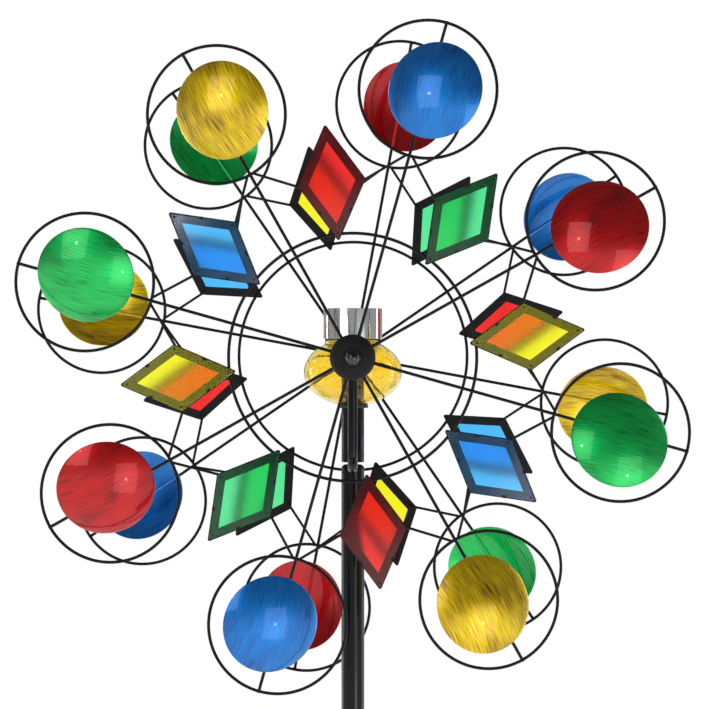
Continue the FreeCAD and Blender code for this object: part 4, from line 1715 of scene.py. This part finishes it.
# ---- studio ------------------------------------------------------------------------------------
@dataclass(frozen=True)
class Softbox:
    """A rectangular studio light.

    Attributes:
        name: the light's name.
        azimuth: degrees to the right of the camera's side.
        elevation: degrees above the rotor axis.
        distance: metres from the rotor axis.
        size: width and height in metres.
        radiance: brightness of its face, where white paper is about one.
    """

    name: str
    azimuth: float
    elevation: float
    distance: float
    size: tuple[float, float]
    radiance: float

    def build(self, target: Vector) -> None:
        """Makes the light.

        Args:
            target: the point that it faces and that its distance counts from.
        """
        a, e = math.radians(self.azimuth), math.radians(self.elevation)
        away = Vector((math.sin(a) * math.cos(e), -math.cos(a) * math.cos(e), math.sin(e)))
        data = bpy.data.lights.new(self.name, "AREA")
        data.shape = "RECTANGLE"
        data.size, data.size_y = self.size
        data.energy = self.radiance * math.pi * self.size[0] * self.size[1]
        light = bpy.data.objects.new(self.name, data)
        light.location = target + away * self.distance
        light.rotation_euler = away.to_track_quat("Z", "Y").to_euler()
        bpy.context.scene.collection.objects.link(light)


@dataclass
class Studio:
    """Camera, softboxes, white surroundings and a pale floor.

    Attributes:
        camera_distance: metres from the front rotor to the camera.
        camera_offset: how far right of and above the axle the camera stands.
        aim_offset: how far right of and above the axle it looks.
        lens: focal length in millimetres.
        sensor: sensor width in millimetres.
        clip: nearest and farthest distance that the camera sees.
        floor_radius: radius of the floor.
        floor_light: white that matt surfaces receive from all round.
        sky: height, from 0 below to 1 above, and brightness that reflections see there.
        softboxes: the lights.
    """

    camera_distance: float = 1.636
    camera_offset: tuple[float, float] = (0.0042, 0.0120)
    aim_offset: tuple[float, float] = (0.00163, 0.0025)
    lens: float = 95.0
    sensor: float = 36.0
    clip: tuple[float, float] = (0.05, 60.0)
    floor_radius: float = 6.0
    floor_light: float = 1.25
    sky: tuple[Point, ...] = ((0.0, 1.5), (0.38, 1.0), (0.5, 0.4), (0.62, 0.16), (1.0, 0.12))
    softboxes: tuple[Softbox, ...] = (
        Softbox("softbox_left", -36.0, 19.0, 1.7, (1.0, 1.3), 1.7),
        Softbox("softbox_right", 34.0, -20.0, 1.7, (1.0, 1.3), 1.2),
        Softbox("strip_left", -122.0, 0.0, 1.7, (0.16, 1.8), 6.0),
        Softbox("strip_right", 112.0, 0.0, 1.7, (0.16, 1.8), 4.0),
        Softbox("bulb_left", -34.0, 17.0, 1.66, (0.1, 0.1), 14.0),
        Softbox("bulb_right", 33.0, -22.0, 1.66, (0.1, 0.1), 12.0),
    )

    def axis_point(self) -> Vector:
        """The middle of the front rotor."""
        low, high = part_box("front_spokes")
        return Vector((0.0, (low.y + high.y) / 2, (low.z + high.z) / 2))

    def build_camera(self) -> None:
        """A long lens that looks along the rotor axis."""
        hub = self.axis_point()
        low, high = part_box("front_inner_ring")
        hub.z = (low.z + high.z) / 2
        data = bpy.data.cameras.new("camera")
        data.lens = self.lens
        data.sensor_width = self.sensor
        data.clip_start, data.clip_end = self.clip
        camera = bpy.data.objects.new("camera", data)
        x, z = self.camera_offset
        camera.location = hub + Vector((x, -self.camera_distance, z))
        aim = hub + Vector((self.aim_offset[0], 0.0, self.aim_offset[1]))
        camera.rotation_euler = (aim - camera.location).to_track_quat("-Z", "Y").to_euler()
        bpy.context.scene.collection.objects.link(camera)
        bpy.context.scene.camera = camera

    def build_world(self) -> None:
        """White behind the object and over the floor; reflections see a dimmer ceiling."""
        world = bpy.data.worlds.new("white_studio")
        bpy.context.scene.world = world
        world.use_nodes = True
        tree = world.node_tree
        tree.nodes.clear()
        place = add_node(tree, "ShaderNodeTexCoord")
        apart = add_node(tree, "ShaderNodeSeparateXYZ", links={0: place.outputs["Generated"]})
        height = add_node(
            tree, "ShaderNodeMapRange", {1: -1.0, 2: 1.0, 3: 0.0, 4: 1.0}, {0: apart.outputs["Z"]}
        )
        falloff = colour_ramp(
            tree, height.outputs[0], [(level, grey(value)) for level, value in self.sky]
        )
        rays = add_node(tree, "ShaderNodeLightPath")
        seen = add_node(
            tree,
            "ShaderNodeMath",
            links={0: rays.outputs["Is Camera Ray"], 1: rays.outputs["Is Transmission Ray"]},
            operation="MAXIMUM",
        )
        spread = add_node(
            tree,
            "ShaderNodeMix",
            {7: grey(self.floor_light)},
            {"Factor": rays.outputs["Is Diffuse Ray"], 6: falloff},
            data_type="RGBA",
        )
        mix = add_node(
            tree,
            "ShaderNodeMix",
            {7: grey(1.0)},
            {"Factor": seen.outputs[0], 6: spread.outputs[2]},
            data_type="RGBA",
        )
        light = add_node(tree, "ShaderNodeBackground", {"Strength": 1.0}, {"Color": mix.outputs[2]})
        add_node(tree, "ShaderNodeOutputWorld", links={"Surface": light.outputs[0]})

    def build_floor(self) -> None:
        """A round pale floor at the prongs' points."""
        height = CAD_LOW.z
        shape = lathe([(0.0, height), (self.floor_radius, height)], 96, False)
        mesh = to_mesh(shape, "studio_floor")
        mesh.materials.append(Moulded("matt_white_floor", "f2f2f0", 0.8, 3.0).material())
        floor = bpy.data.objects.new("studio_floor", mesh)
        bpy.context.scene.collection.objects.link(floor)

    def build(self) -> None:
        """Makes the whole studio."""
        self.build_camera()
        self.build_world()
        self.build_floor()
        for softbox in self.softboxes:
            softbox.build(self.axis_point())
        bpy.context.scene.view_settings.view_transform = "Standard"


def main() -> None:
    """Builds the studio and every sub-assembly, in order."""
    logging.basicConfig(level=logging.INFO)
    Studio().build()
    parts = [
        Rotor(
            Side.FRONT,
            -15.7,
            (Hue.GREEN, Hue.RED, Hue.BLUE, Hue.YELLOW),
            (Hue.YELLOW, Hue.GREEN, Hue.RED, Hue.BLUE),
        ),
        Rotor(
            Side.REAR,
            -10.55,
            (Hue.YELLOW, Hue.BLUE, Hue.RED, Hue.GREEN),
            (Hue.RED, Hue.GREEN, Hue.YELLOW, Hue.BLUE),
        ),
        Lamp(),
        Stand(),
    ]
    for part in parts:
        part.build()
        log.info("%s is built", type(part).__name__)


if __name__ == "__main__":
    main()
